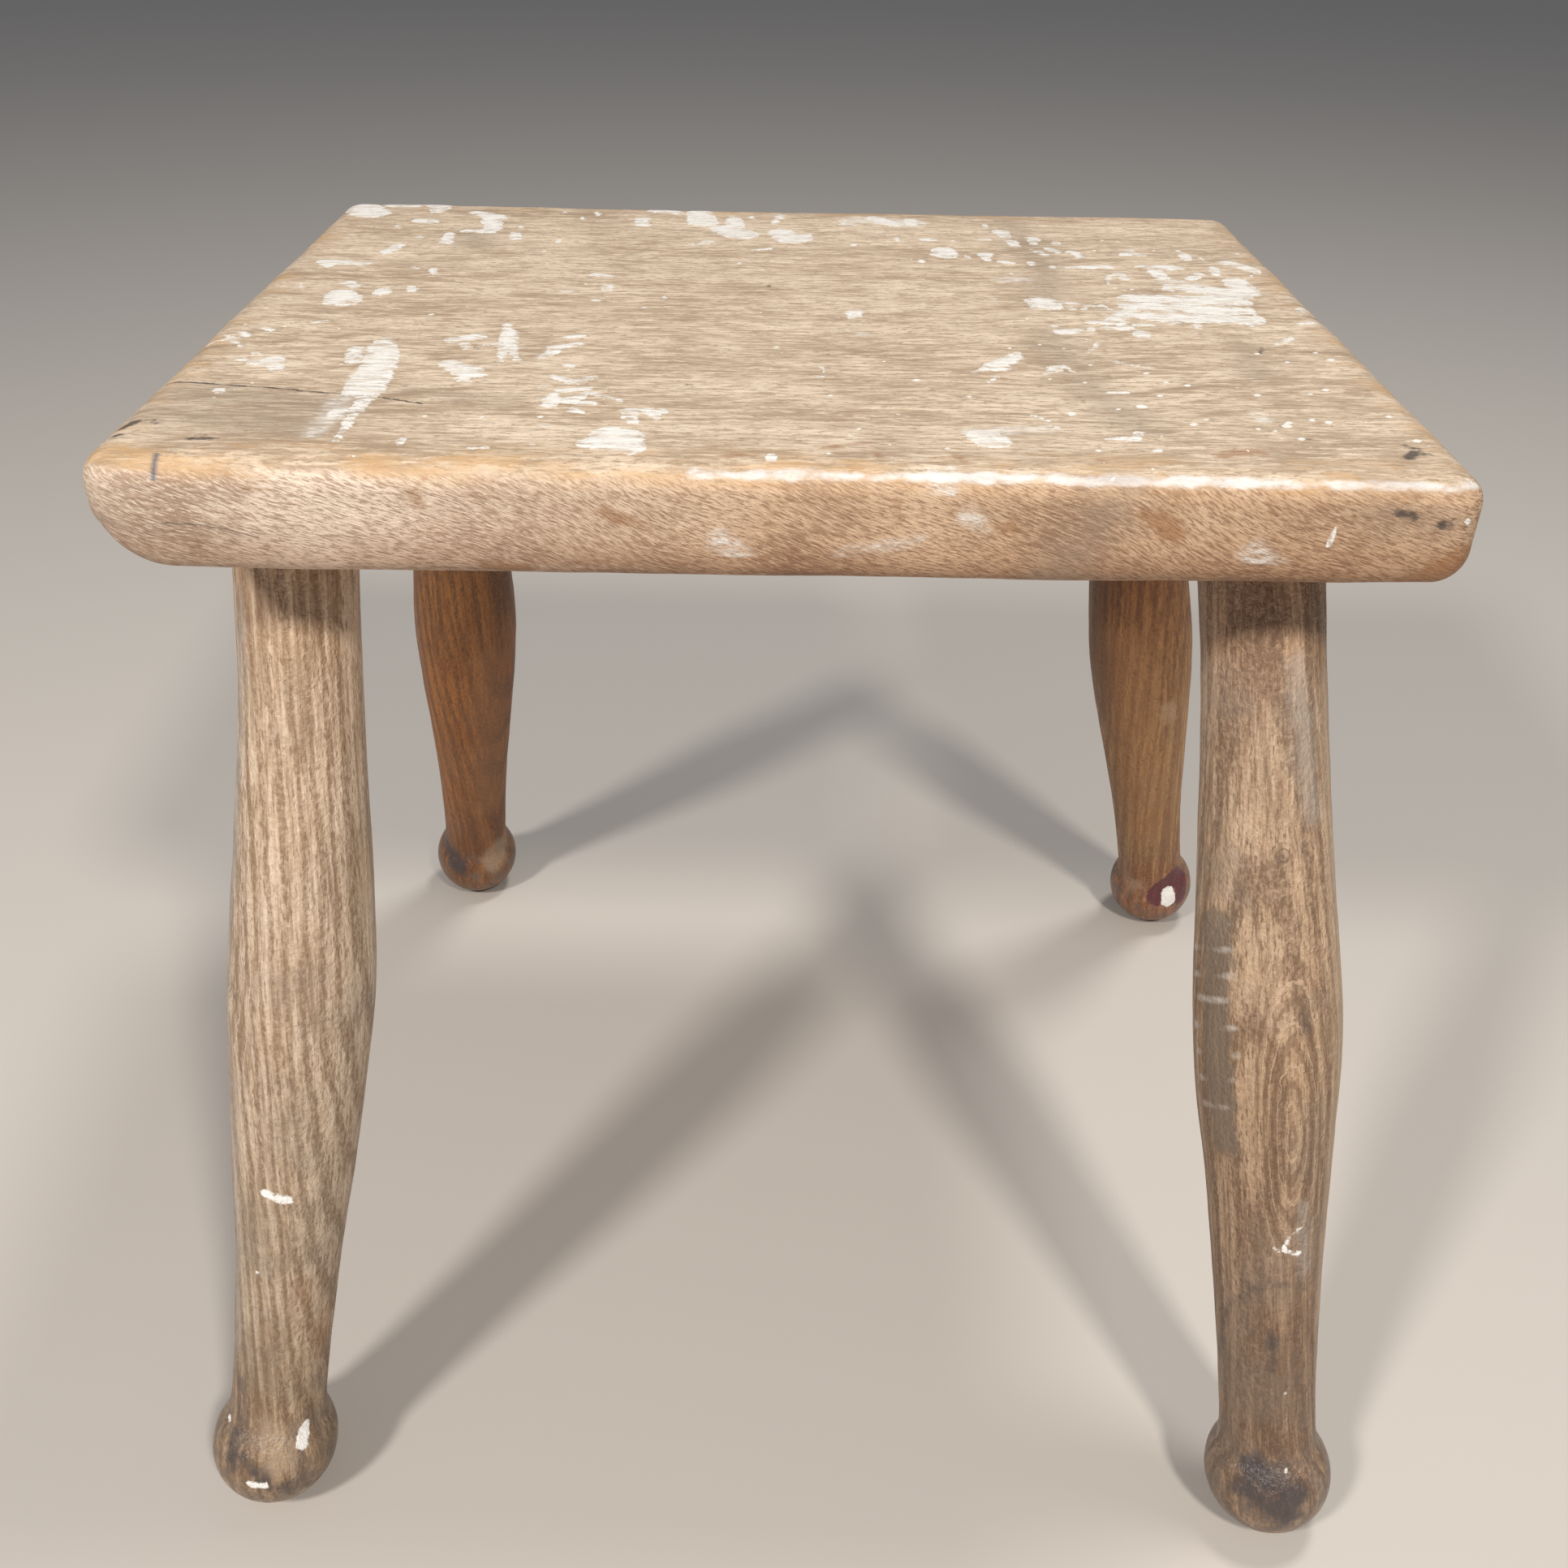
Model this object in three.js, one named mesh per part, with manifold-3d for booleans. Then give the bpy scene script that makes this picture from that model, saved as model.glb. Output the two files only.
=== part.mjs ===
// A small four-legged wooden stool: a thick plank seat on four turned legs that end in ball feet.
// Millimetres, +Z up, the seat's long side along X and its front towards -Y. The stool stands on
// Z = 0, with the origin under the middle of its bounding box.
import * as THREE from "three";
import { mergeVertices } from "three/addons/utils/BufferGeometryUtils.js";
import Module from "manifold-3d";

const wasm = await Module();
wasm.setup();

// ---- Seat: one board, its edges worn round ----
const SEAT_FRONT_WIDTH = 304;
const SEAT_BACK_WIDTH = 309;
const SEAT_DEPTH = 256;
const SEAT_THICKNESS = 27;
const SEAT_HEIGHT = 315; // floor to the top of the seat
const FRONT_CORNER_RADIUS = 9; // seen from above
const BACK_CORNER_RADIUS = 6;
const SIDE_TOP_ROUNDING = 7; // along the front and back
const SIDE_BOTTOM_ROUNDING = 9;
const END_TOP_ROUNDING = 6; // along the two short ends
const LEFT_END_BOTTOM_ROUNDING = 18;
const RIGHT_END_BOTTOM_ROUNDING = 10;
const LEAST_FLAT = 1; // left between the roundings above and below it on an edge

// ---- Blind joint between a leg and the seat ----
const TENON_RADIUS = 12.5;
const SOCKET_ROOF = 9; // wood left between a socket's end and the top of the seat
const JOINT_GAP = 0.3; // glue line round the tenon, over its end and under the seat

// ---- Turned leg: radius at each share of the way from the seat's underside to the floor ----
const LEG_PROFILE = [
  { share: 0, radius: 15.9 }, // shoulder
  { share: 0.18, radius: 15.8 }, // neck
  { share: 0.33, radius: 18.1 },
  { share: 0.45, radius: 19.9 }, // belly
  { share: 0.56, radius: 18.3 },
  { share: 0.7, radius: 15.3 }, // shin
  { share: 0.8, radius: 13.9 },
  { share: 0.9, radius: 13.7 }, // ankle, inside the top of the ball
];
const BALL_RADIUS = 18.2;
const BALL_HALF_LENGTH = 18.6; // along the leg
const FOOT_WEAR = 0.9; // how far the floor has worn into each ball

// ---- Each leg by itself: the stool is hand-made, so no two stand alike ----
// side and end: which corner, as signs along X and Y.
// fromEnd and fromSide: the socket's centre on the underside, in from the seat's edges.
// lean: degrees outwards along X and along Y. bow: how far its middle bends towards +X.
const LEGS = [
  {
    name: "leg_front_left",
    side: -1,
    end: -1,
    fromEnd: 28.8,
    fromSide: 57.4,
    lean: { x: 5.1, y: 16.3 },
    bow: 5.7,
  },
  {
    name: "leg_front_right",
    side: 1,
    end: -1,
    fromEnd: 33.8,
    fromSide: 52.9,
    lean: { x: 6.3, y: 16.4 },
    bow: 0.8,
  },
  {
    name: "leg_back_left",
    side: -1,
    end: 1,
    fromEnd: 41.1,
    fromSide: 51.2,
    lean: { x: 5.6, y: 17.2 },
    bow: 1.2,
  },
  {
    name: "leg_back_right",
    side: 1,
    end: 1,
    fromEnd: 39.8,
    fromSide: 61.4,
    lean: { x: 12.3, y: 16.3 },
    bow: -1.3,
  },
];

// ---- Fineness ----
const ROUND_SIDES = 24; // round a leg
const BODY_STEPS = 18; // along a leg, shoulder to ankle
const BALL_STEPS = 9; // along a ball's outline
const EDGE_STEPS = 5; // across a rounded edge
const OVERRUN = 10; // how far pieces run past a cut or into each other
const BLOCK = 2000; // side of a cutting block, larger than any stool
const MERGE_DISTANCE = 1e-3; // corners closer than this are one corner
const LEAST_STEP = 1; // between the body's last point and the ball's first

const underside = SEAT_HEIGHT - SEAT_THICKNESS;
const ballHeight = BALL_HALF_LENGTH - FOOT_WEAR; // floor to the ball's centre

const seatMaterial = new THREE.MeshStandardMaterial({ color: 0xb59a78, roughness: 0.6, metalness: 0 });
const legMaterial = new THREE.MeshStandardMaterial({ color: 0x94785e, roughness: 0.55, metalness: 0 });

// A closed three.js geometry as a manifold-3d solid.
function toSolid(geometry) {
  const bare = geometry.clone();
  bare.deleteAttribute("normal");
  bare.deleteAttribute("uv");
  const merged = mergeVertices(bare, MERGE_DISTANCE);
  const vertProperties = new Float32Array(merged.attributes.position.array);
  const triVerts = new Uint32Array(merged.index.array);
  return new wasm.Manifold(new wasm.Mesh({ numProp: 3, vertProperties, triVerts }));
}

// A manifold-3d solid as a three.js geometry.
function toGeometry(solid) {
  const mesh = solid.getMesh();
  const geometry = new THREE.BufferGeometry();
  geometry.setAttribute("position", new THREE.BufferAttribute(mesh.vertProperties, 3));
  geometry.setIndex(new THREE.BufferAttribute(mesh.triVerts, 1));
  geometry.computeVertexNormals();
  return geometry;
}

// A four-sided outline with a radius on each corner. Each corner is { x, y, radius }.
function roundedOutline(corners) {
  const shape = new THREE.Shape();
  corners.forEach((corner, index) => {
    const here = new THREE.Vector2(corner.x, corner.y);
    const before = corners.at(index - 1);
    const after = corners[(index + 1) % corners.length];
    const toBefore = new THREE.Vector2(before.x, before.y).sub(here).normalize();
    const toAfter = new THREE.Vector2(after.x, after.y).sub(here).normalize();
    const halfAngle = Math.acos(toBefore.dot(toAfter)) / 2;
    const arcStart = here.clone().addScaledVector(toBefore, corner.radius / Math.tan(halfAngle));
    const towardsCentre = toBefore.clone().add(toAfter).normalize();
    const centre = here.clone().addScaledVector(towardsCentre, corner.radius / Math.sin(halfAngle));
    const startAngle = arcStart.sub(centre).angle();
    const sweep = Math.PI - 2 * halfAngle;
    shape.absarc(centre.x, centre.y, corner.radius, startAngle, startAngle + sweep);
  });
  shape.closePath();
  return shape;
}

// An upright rectangle centred on the origin, with a radius at the low left, low right and top.
// A lower rounding is limited by the height that the one above it leaves.
function roundedRectangle(width, height, lowLeft, lowRight, top) {
  const x = width / 2;
  const y = height / 2;
  const room = height - top - LEAST_FLAT;
  return roundedOutline([
    { x: -x, y: -y, radius: Math.min(lowLeft, room) },
    { x, y: -y, radius: Math.min(lowRight, room) },
    { x, y, radius: top },
    { x: -x, y, radius: top },
  ]);
}

// A shape pushed out to a length, centred on the origin.
function prism(shape, length) {
  const settings = { depth: length, bevelEnabled: false, curveSegments: EDGE_STEPS };
  return new THREE.ExtrudeGeometry(shape, settings).translate(0, 0, -length / 2);
}

// The blank board: what its plan, its front view and its end view have in common.
function seatBoard() {
  const front = -SEAT_DEPTH / 2;
  const back = SEAT_DEPTH / 2;
  const plan = roundedOutline([
    { x: -SEAT_FRONT_WIDTH / 2, y: front, radius: FRONT_CORNER_RADIUS },
    { x: SEAT_FRONT_WIDTH / 2, y: front, radius: FRONT_CORNER_RADIUS },
    { x: SEAT_BACK_WIDTH / 2, y: back, radius: BACK_CORNER_RADIUS },
    { x: -SEAT_BACK_WIDTH / 2, y: back, radius: BACK_CORNER_RADIUS },
  ]);
  const frontView = roundedRectangle(
    SEAT_BACK_WIDTH,
    SEAT_THICKNESS,
    LEFT_END_BOTTOM_ROUNDING,
    RIGHT_END_BOTTOM_ROUNDING,
    END_TOP_ROUNDING,
  );
  const endView = roundedRectangle(
    SEAT_DEPTH,
    SEAT_THICKNESS,
    SIDE_BOTTOM_ROUNDING,
    SIDE_BOTTOM_ROUNDING,
    SIDE_TOP_ROUNDING,
  );
  const upright = toSolid(prism(plan, BLOCK));
  const alongY = toSolid(prism(frontView, BLOCK).rotateX(Math.PI / 2));
  const alongX = toSolid(prism(endView, BLOCK).rotateX(Math.PI / 2).rotateZ(Math.PI / 2));
  return upright
    .intersect(alongY)
    .intersect(alongX)
    .translate([0, 0, SEAT_HEIGHT - SEAT_THICKNESS / 2]);
}

// Half the seat's width at a distance in front of or behind its middle.
function halfWidthAt(y) {
  return THREE.MathUtils.lerp(SEAT_FRONT_WIDTH, SEAT_BACK_WIDTH, 0.5 + y / SEAT_DEPTH) / 2;
}

// Where a leg's axis meets the underside, and its direction from there down to the floor.
function legAxis(leg) {
  const y = leg.end * (SEAT_DEPTH / 2 - leg.fromSide);
  const start = new THREE.Vector3(leg.side * (halfWidthAt(y) - leg.fromEnd), y, underside);
  const down = new THREE.Vector3(
    leg.side * Math.tan(THREE.MathUtils.degToRad(leg.lean.x)),
    leg.end * Math.tan(THREE.MathUtils.degToRad(leg.lean.y)),
    -1,
  ).normalize();
  return { start, down };
}

// Moves a geometry made along +Y from the origin onto a leg's axis: +Y becomes the way up the leg.
function ontoAxis(geometry, axis) {
  const up = axis.down.clone().negate();
  const turn = new THREE.Quaternion().setFromUnitVectors(new THREE.Vector3(0, 1, 0), up);
  return geometry.applyQuaternion(turn).translate(axis.start.x, axis.start.y, axis.start.z);
}

// A round peg along a leg's axis, from below the underside up to a depth inside the seat.
function peg(leg, radius, depth) {
  const axis = legAxis(leg);
  const length = depth / -axis.down.z + OVERRUN;
  const cylinder = new THREE.CylinderGeometry(radius, radius, length, ROUND_SIDES);
  cylinder.translate(0, length / 2 - OVERRUN, 0);
  return toSolid(ontoAxis(cylinder, axis));
}

// A block that fills everything above or below a height.
function block(height, direction) {
  const box = new THREE.BoxGeometry(BLOCK, BLOCK, BLOCK);
  return toSolid(box.translate(0, 0, height + (direction * BLOCK) / 2));
}

// The turned body and its ball foot as one outline, spun round the leg's axis.
function turnedLeg(leg) {
  const axis = legAxis(leg);
  const ballCentre = (underside - ballHeight) / -axis.down.z;
  const length = underside / -axis.down.z;
  const curve = new THREE.SplineCurve(
    LEG_PROFILE.map(({ share, radius }) => new THREE.Vector2(radius, -share * length)),
  );
  // the ankle is followed down to where the ball is as wide as it
  const ankleRadius = LEG_PROFILE.at(-1).radius;
  const meeting = Math.asin(Math.min(ankleRadius / BALL_RADIUS, 1));
  const ballTop = -ballCentre + BALL_HALF_LENGTH * Math.cos(meeting);
  const body = curve.getPoints(BODY_STEPS).filter((point) => point.y > ballTop + LEAST_STEP);
  const outline = [new THREE.Vector2(0, OVERRUN), new THREE.Vector2(LEG_PROFILE[0].radius, OVERRUN)];
  outline.push(...body);
  for (let step = 0; step <= BALL_STEPS; step += 1) {
    const angle = meeting + ((Math.PI - meeting) * step) / BALL_STEPS;
    const radius = step === BALL_STEPS ? 0 : BALL_RADIUS * Math.sin(angle);
    outline.push(new THREE.Vector2(radius, -ballCentre + BALL_HALF_LENGTH * Math.cos(angle)));
  }
  outline.reverse();
  return ontoAxis(new THREE.LatheGeometry(outline, ROUND_SIDES), axis);
}

// Bends a leg sideways between the seat and the floor, most at half height.
function bowed(geometry, bow) {
  const position = geometry.attributes.position;
  for (let index = 0; index < position.count; index += 1) {
    const share = THREE.MathUtils.clamp((underside - position.getZ(index)) / underside, 0, 1);
    position.setX(index, position.getX(index) + bow * Math.sin(Math.PI * share));
  }
  return geometry;
}

const socketDepth = SEAT_THICKNESS - SOCKET_ROOF;

// A leg cut level under the seat and on the floor, with the tenon that fits the seat's socket.
function makeLeg(leg) {
  const body = toSolid(bowed(turnedLeg(leg), leg.bow))
    .subtract(block(underside - JOINT_GAP, 1))
    .subtract(block(0, -1));
  const solid = body.add(peg(leg, TENON_RADIUS, socketDepth - JOINT_GAP));
  const mesh = new THREE.Mesh(toGeometry(solid), legMaterial.clone());
  mesh.name = leg.name;
  return mesh;
}

// The board with a blind socket in its underside for each leg.
function makeSeat() {
  const sockets = LEGS.map((leg) => peg(leg, TENON_RADIUS + JOINT_GAP, socketDepth));
  const solid = sockets.reduce((board, socket) => board.subtract(socket), seatBoard());
  const mesh = new THREE.Mesh(toGeometry(solid), seatMaterial);
  mesh.name = "seat";
  return mesh;
}

const stool = new THREE.Group();
stool.add(makeSeat(), ...LEGS.map(makeLeg));

// The legs reach out by different amounts, so the origin goes under the middle of the whole stool.
const extent = new THREE.Box3().setFromObject(stool, true);
const middle = extent.getCenter(new THREE.Vector3());
stool.position.set(-middle.x, -middle.y, -extent.min.z);

export default stool;
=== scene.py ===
# A worn four-legged stool: a thick plank seat spotted with white paint, on four turned legs.
import math

import bpy
import numpy as np
from mathutils import Matrix, Vector


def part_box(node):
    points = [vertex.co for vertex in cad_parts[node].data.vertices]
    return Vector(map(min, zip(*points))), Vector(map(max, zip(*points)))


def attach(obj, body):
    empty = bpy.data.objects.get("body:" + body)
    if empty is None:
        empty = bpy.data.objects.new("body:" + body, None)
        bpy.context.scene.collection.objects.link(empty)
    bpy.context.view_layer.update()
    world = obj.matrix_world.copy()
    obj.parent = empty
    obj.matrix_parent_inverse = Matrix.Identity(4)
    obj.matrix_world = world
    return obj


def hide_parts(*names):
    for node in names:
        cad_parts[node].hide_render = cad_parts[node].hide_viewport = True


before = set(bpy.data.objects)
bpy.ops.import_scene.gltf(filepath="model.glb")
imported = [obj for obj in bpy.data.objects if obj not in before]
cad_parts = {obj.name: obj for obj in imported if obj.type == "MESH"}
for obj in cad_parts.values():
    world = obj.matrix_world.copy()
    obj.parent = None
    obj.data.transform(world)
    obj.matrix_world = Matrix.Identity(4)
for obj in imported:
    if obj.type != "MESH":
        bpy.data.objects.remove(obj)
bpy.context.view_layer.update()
print("frame loaded")

mm = 0.001
softAngle = math.radians(50)  # faces that meet at less than this are shaded as one
waveSpacing = 0.314  # metres from ring to ring in a wave texture of scale 1

seatLow, seatHigh = [Vector(corner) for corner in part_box("seat")]
seatMiddle = (seatLow + seatHigh) / 2
seatSize = seatHigh - seatLow
underside = seatLow.z


# small helpers for shapes

def only(thing):  # selects one object and makes it active
    bpy.ops.object.select_all(action="DESELECT")
    thing.select_set(True)
    bpy.context.view_layer.objects.active = thing


def editMode(selectType="VERT"):
    bpy.ops.object.mode_set(mode="EDIT")
    bpy.ops.mesh.select_mode(type=selectType)
    bpy.ops.mesh.select_all(action="DESELECT")


def objectMode():
    bpy.ops.object.mode_set(mode="OBJECT")


def pick(items, wanted):  # selects vertices, edges or faces, from edit mode and back to it
    objectMode()
    items.foreach_set("select", wanted)
    bpy.ops.object.mode_set(mode="EDIT")


def applyAll(thing):
    only(thing)
    for modifier in list(thing.modifiers):
        bpy.ops.object.modifier_apply(modifier=modifier.name)


def vectorsOf(items, field):
    flat = np.empty(len(items) * 3, dtype=np.float32)
    items.foreach_get(field, flat)
    return flat.reshape(-1, 3).astype(np.float64)


def pointsOf(thing):
    return vectorsOf(thing.data.vertices, "co")


def edgesOf(thing):  # each edge as the step from its first end to its second
    ends = np.empty(len(thing.data.edges) * 2, dtype=np.int32)
    thing.data.edges.foreach_get("vertices", ends)
    places = pointsOf(thing)[ends.reshape(-1, 2)]
    return places[:, 1] - places[:, 0]


def movePoints(thing, points):
    thing.data.vertices.foreach_set("co", points.astype(np.float32).ravel())
    thing.data.update()


def addLayer(thing, name, values):  # one number for each vertex, read by the materials
    layer = thing.data.attributes.new(name, "FLOAT", "POINT")
    layer.data.foreach_set("value", values.astype(np.float32))


def smoothStep(low, high, values):
    share = np.clip((values - low) / (high - low), 0, 1)
    return share * share * (3 - 2 * share)


def insideStroke(points, start, end, startRadius, endRadius):  # how far inside a tapered stroke
    start = np.array(start, dtype=np.float64)
    along = np.array(end, dtype=np.float64) - start
    share = np.clip((points - start) @ along / max(along @ along, 1e-12), 0, 1)
    nearest = start + share[:, None] * along
    radius = startRadius + (endRadius - startRadius) * share
    return radius - np.linalg.norm(points - nearest, axis=1)


def insideAny(points, strokes):
    field = np.full(len(points), -1.0)
    for stroke in strokes:
        field = np.maximum(field, insideStroke(points, *stroke))
    return field


def waver(thing, name, size, strength):  # a gentle unevenness, as old wood has
    texture = bpy.data.textures.new(name, "CLOUDS")
    texture.noise_scale = size
    texture.noise_depth = 1
    modifier = thing.modifiers.new(name, "DISPLACE")
    modifier.texture = texture
    modifier.texture_coords = "LOCAL"
    modifier.strength = strength
    modifier.mid_level = 0.5


# small helpers for materials: most give an output socket

def newMaterial(name):
    material = bpy.data.materials.new(name)
    material.use_nodes = True
    return material, material.node_tree


def put(tree, socket, value):
    if isinstance(value, bpy.types.NodeSocket):
        tree.links.new(value, socket)
    elif value is not None:
        socket.default_value = value


def objectPlace(tree, place=(0, 0, 0), turn=(0, 0, 0), scale=(1, 1, 1), vector=None, kind="POINT"):
    if vector is None:
        vector = tree.nodes.new("ShaderNodeTexCoord").outputs["Object"]
    mapping = tree.nodes.new("ShaderNodeMapping")
    mapping.vector_type = kind
    put(tree, mapping.inputs["Vector"], vector)
    mapping.inputs["Location"].default_value = place
    mapping.inputs["Rotation"].default_value = turn
    mapping.inputs["Scale"].default_value = scale
    return mapping.outputs["Vector"]


def noise(tree, vector, scale, detail=3.0, roughness=0.55, distortion=0.0, output="Fac"):
    node = tree.nodes.new("ShaderNodeTexNoise")
    put(tree, node.inputs["Vector"], vector)
    node.inputs["Scale"].default_value = scale
    node.inputs["Detail"].default_value = detail
    node.inputs["Roughness"].default_value = roughness
    node.inputs["Distortion"].default_value = distortion
    return node.outputs[output]


def grain(tree, scale, detail, roughness, distortion=0.0, vector=None):  # noise drawn out along the wood
    return noise(tree, objectPlace(tree, scale=scale, vector=vector), 1.0, detail, roughness, distortion)


def stirred(tree, vector, scale, reach):  # a place pushed about by a slow noise
    node = tree.nodes.new("ShaderNodeVectorMath")
    node.operation = "MULTIPLY_ADD"
    put(tree, node.inputs[0], noise(tree, vector, scale, 2.0, 0.5, output="Color"))
    node.inputs[1].default_value = reach
    put(tree, node.inputs[2], vector)
    return node.outputs["Vector"]


def rings(tree, vector, spacing):  # the tree's growth rings, this many metres apart
    node = tree.nodes.new("ShaderNodeTexWave")
    node.wave_type = "RINGS"
    node.rings_direction = "Z"
    put(tree, node.inputs["Vector"], vector)
    node.inputs["Scale"].default_value = waveSpacing / spacing
    node.inputs["Distortion"].default_value = 0.6
    node.inputs["Detail"].default_value = 3.0
    node.inputs["Detail Scale"].default_value = 2.0
    node.inputs["Detail Roughness"].default_value = 0.55
    return node.outputs["Fac"]


def maths(tree, operation, first, second=None, third=None):
    node = tree.nodes.new("ShaderNodeMath")
    node.operation = operation
    put(tree, node.inputs[0], first)
    put(tree, node.inputs[1], second)
    put(tree, node.inputs[2], third)
    return node.outputs[0]


def times(tree, first, second):
    return maths(tree, "MULTIPLY", first, second)


def plus(tree, first, second):
    return maths(tree, "ADD", first, second)


def centred(tree, value, size):  # a noise taken about its middle and enlarged
    return times(tree, maths(tree, "SUBTRACT", value, 0.5), size)


def spread(tree, value, low, high, toLow=0.0, toHigh=1.0):
    node = tree.nodes.new("ShaderNodeMapRange")
    node.interpolation_type = "SMOOTHSTEP"
    put(tree, node.inputs["Value"], value)
    node.inputs["From Min"].default_value = low
    node.inputs["From Max"].default_value = high
    node.inputs["To Min"].default_value = toLow
    node.inputs["To Max"].default_value = toHigh
    return node.outputs["Result"]


def ramp(tree, value, stops):
    node = tree.nodes.new("ShaderNodeValToRGB")
    put(tree, node.inputs["Fac"], value)
    elements = node.color_ramp.elements
    while len(elements) < len(stops):
        elements.new(0.5)
    for element, (position, colour) in zip(elements, stops):
        element.position = position
        element.color = (*colour, 1)
    return node.outputs["Color"]


def mix(tree, share, first, second, blend="MIX"):
    node = tree.nodes.new("ShaderNodeMix")
    node.data_type = "RGBA"
    node.blend_type = blend
    put(tree, node.inputs["Factor"], share)
    for socket, value in ((node.inputs[6], first), (node.inputs[7], second)):
        put(tree, socket, (*value, 1) if isinstance(value, tuple) else value)
    return node.outputs[2]


def tint(tree, tone, colour, value, low, high, share):  # up to a share of a colour where a value is met
    return mix(tree, spread(tree, value, low, high, 0.0, share), tone, colour)


def between(tree, share, first, second):  # mixes two single numbers
    node = tree.nodes.new("ShaderNodeMix")
    node.data_type = "FLOAT"
    put(tree, node.inputs["Factor"], share)
    put(tree, node.inputs[2], first)
    put(tree, node.inputs[3], second)
    return node.outputs[0]


def layer(tree, name):  # a number kept at each vertex
    node = tree.nodes.new("ShaderNodeAttribute")
    node.attribute_name = name
    return node.outputs["Fac"]


def bump(tree, height, strength, distance, below=None):
    node = tree.nodes.new("ShaderNodeBump")
    put(tree, node.inputs["Height"], height)
    put(tree, node.inputs["Normal"], below)
    node.inputs["Strength"].default_value = strength
    node.inputs["Distance"].default_value = distance
    return node.outputs["Normal"]


def dress(thing, material, tone, rough, reliefs):  # joins up a finished material and puts it on a piece
    tree = material.node_tree
    shader = tree.nodes["Principled BSDF"]
    normal = None
    for height, strength, distance in reliefs:
        normal = bump(tree, height, strength, distance, normal)
    put(tree, shader.inputs["Base Color"], tone)
    put(tree, shader.inputs["Roughness"], rough)
    put(tree, shader.inputs["Normal"], normal)
    thing.data.materials.clear()
    thing.data.materials.append(material)


# the camera

camera = {
    "place": (-1.3, -444.7, 434.2),  # from the middle of the seat's plan, on the floor
    "down": 31.9,
    "right": 0.23,
    "roll": 1.08,
    "lens": 36.07,
    "shift": 0.0034,
}


def makeCamera(settings):
    data = bpy.data.cameras.new("camera")
    data.sensor_width = 36
    data.lens = settings["lens"]
    data.shift_x = settings["shift"]
    data.clip_start = 0.01
    eye = bpy.data.objects.new("camera", data)
    bpy.context.collection.objects.link(eye)
    turn = Matrix.Rotation(-math.radians(settings["right"]), 4, "Z")
    turn @= Matrix.Rotation(math.radians(90 - settings["down"]), 4, "X")
    turn @= Matrix.Rotation(math.radians(settings["roll"]), 4, "Z")
    place = Vector((seatMiddle.x, seatMiddle.y, 0)) + Vector(settings["place"]) * mm
    eye.matrix_world = Matrix.Translation(place) @ turn
    bpy.context.scene.camera = eye


makeCamera(camera)
print("camera placed")

# the floor and the lights

studio = {
    "floorSize": 13.0,
    "floorColour": (0.56, 0.53, 0.49, 1),
    "floorRoughness": 0.75,
    "aim": 0.6,  # the lights look at this share of the stool's height
    "world": (0.86, 0.90, 1.0, 1),
    "worldStrength": 0.2,
    "lights": [  # place in metres, size, power, colour
        ("rightLight", (0.6, -1.5, 1.65), 0.25, 27.0, (1.0, 0.92, 0.83)),
        ("leftLight", (-1.0, -1.25, 1.45), 0.25, 25.0, (1.0, 0.94, 0.88)),
        ("overheadLight", (0.5, 0.25, 2.0), 0.4, 14.5, (1.0, 0.97, 0.93)),
    ],
}


def makeStudio(settings):
    bpy.ops.mesh.primitive_plane_add(size=settings["floorSize"], location=(0, 0, 0))
    floor = bpy.context.active_object
    floor.name = "floor"
    material, tree = newMaterial("paleFloor")
    shader = tree.nodes["Principled BSDF"]
    shader.inputs["Base Color"].default_value = settings["floorColour"]
    shader.inputs["Roughness"].default_value = settings["floorRoughness"]
    floor.data.materials.append(material)
    world = bpy.data.worlds.new("studio")
    world.use_nodes = True
    background = world.node_tree.nodes["Background"]
    background.inputs["Color"].default_value = settings["world"]
    background.inputs["Strength"].default_value = settings["worldStrength"]
    bpy.context.scene.world = world
    target = Vector((0, 0, seatHigh.z * settings["aim"]))
    for name, place, size, power, colour in settings["lights"]:
        data = bpy.data.lights.new(name, "AREA")
        data.shape = "DISK"
        data.size = size
        data.energy = power
        data.color = colour
        lamp = bpy.data.objects.new(name, data)
        bpy.context.collection.objects.link(lamp)
        lamp.location = place
        lamp.rotation_euler = (target - Vector(place)).to_track_quat("-Z", "Y").to_euler()
    bpy.context.scene.view_settings.view_transform = "Standard"


makeStudio(studio)
print("studio lit")

# the seat: its shape

seat = {
    "cells": ((16, 16), (12, 18), (18,)),  # parts along X, Y and Z: a round has 100 cuts at most
    "frontShare": 0.984,  # the front is this much of the back's width
    "thinRight": 0.9,  # mm that the underside climbs towards the right end
    "thinLeft": -0.5,
    "roundEnd": 8.0,  # mm, how far each worn edge reaches along X, Y and Z
    "roundSide": 8.0,
    "roundTop": 7.0,
    "roundBottom": 9.5,
    "leftEnd": (17.0, 17.0),  # the left end turns under in a wider curve: along X, along Z
    "crown": 0.35,  # mm, the hollow worn into the middle of the top
    "paintThickness": 0.16,
    "splitDepth": 0.3,
    "thinnest": 0.65,  # mm, the least radius that the mesh can carry
    "socketRadius": 12.8,
    "socketDepth": 18.0,
    "drillSides": 48,
    "unevenness": [("handPlaned", 0.05, 0.0009), ("wornSpots", 0.012, 0.00025)],  # size, height in metres
    "flatBelow": 26.0,  # mm in from the edges, where the underside lies flat for the legs
}


def seatPoint(x, y, z=0.0):  # millimetres from the middle of the top, as a place in metres
    return (seatMiddle.x + x * mm, seatMiddle.y + y * mm, seatHigh.z + z * mm)


def divideAlong(board, axis, cuts):
    steps = np.abs(edgesOf(board))
    editMode("EDGE")
    pick(board.data.edges, steps.argmax(axis=1) == axis)
    bpy.ops.mesh.subdivide(number_cuts=cuts)
    objectMode()


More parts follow.
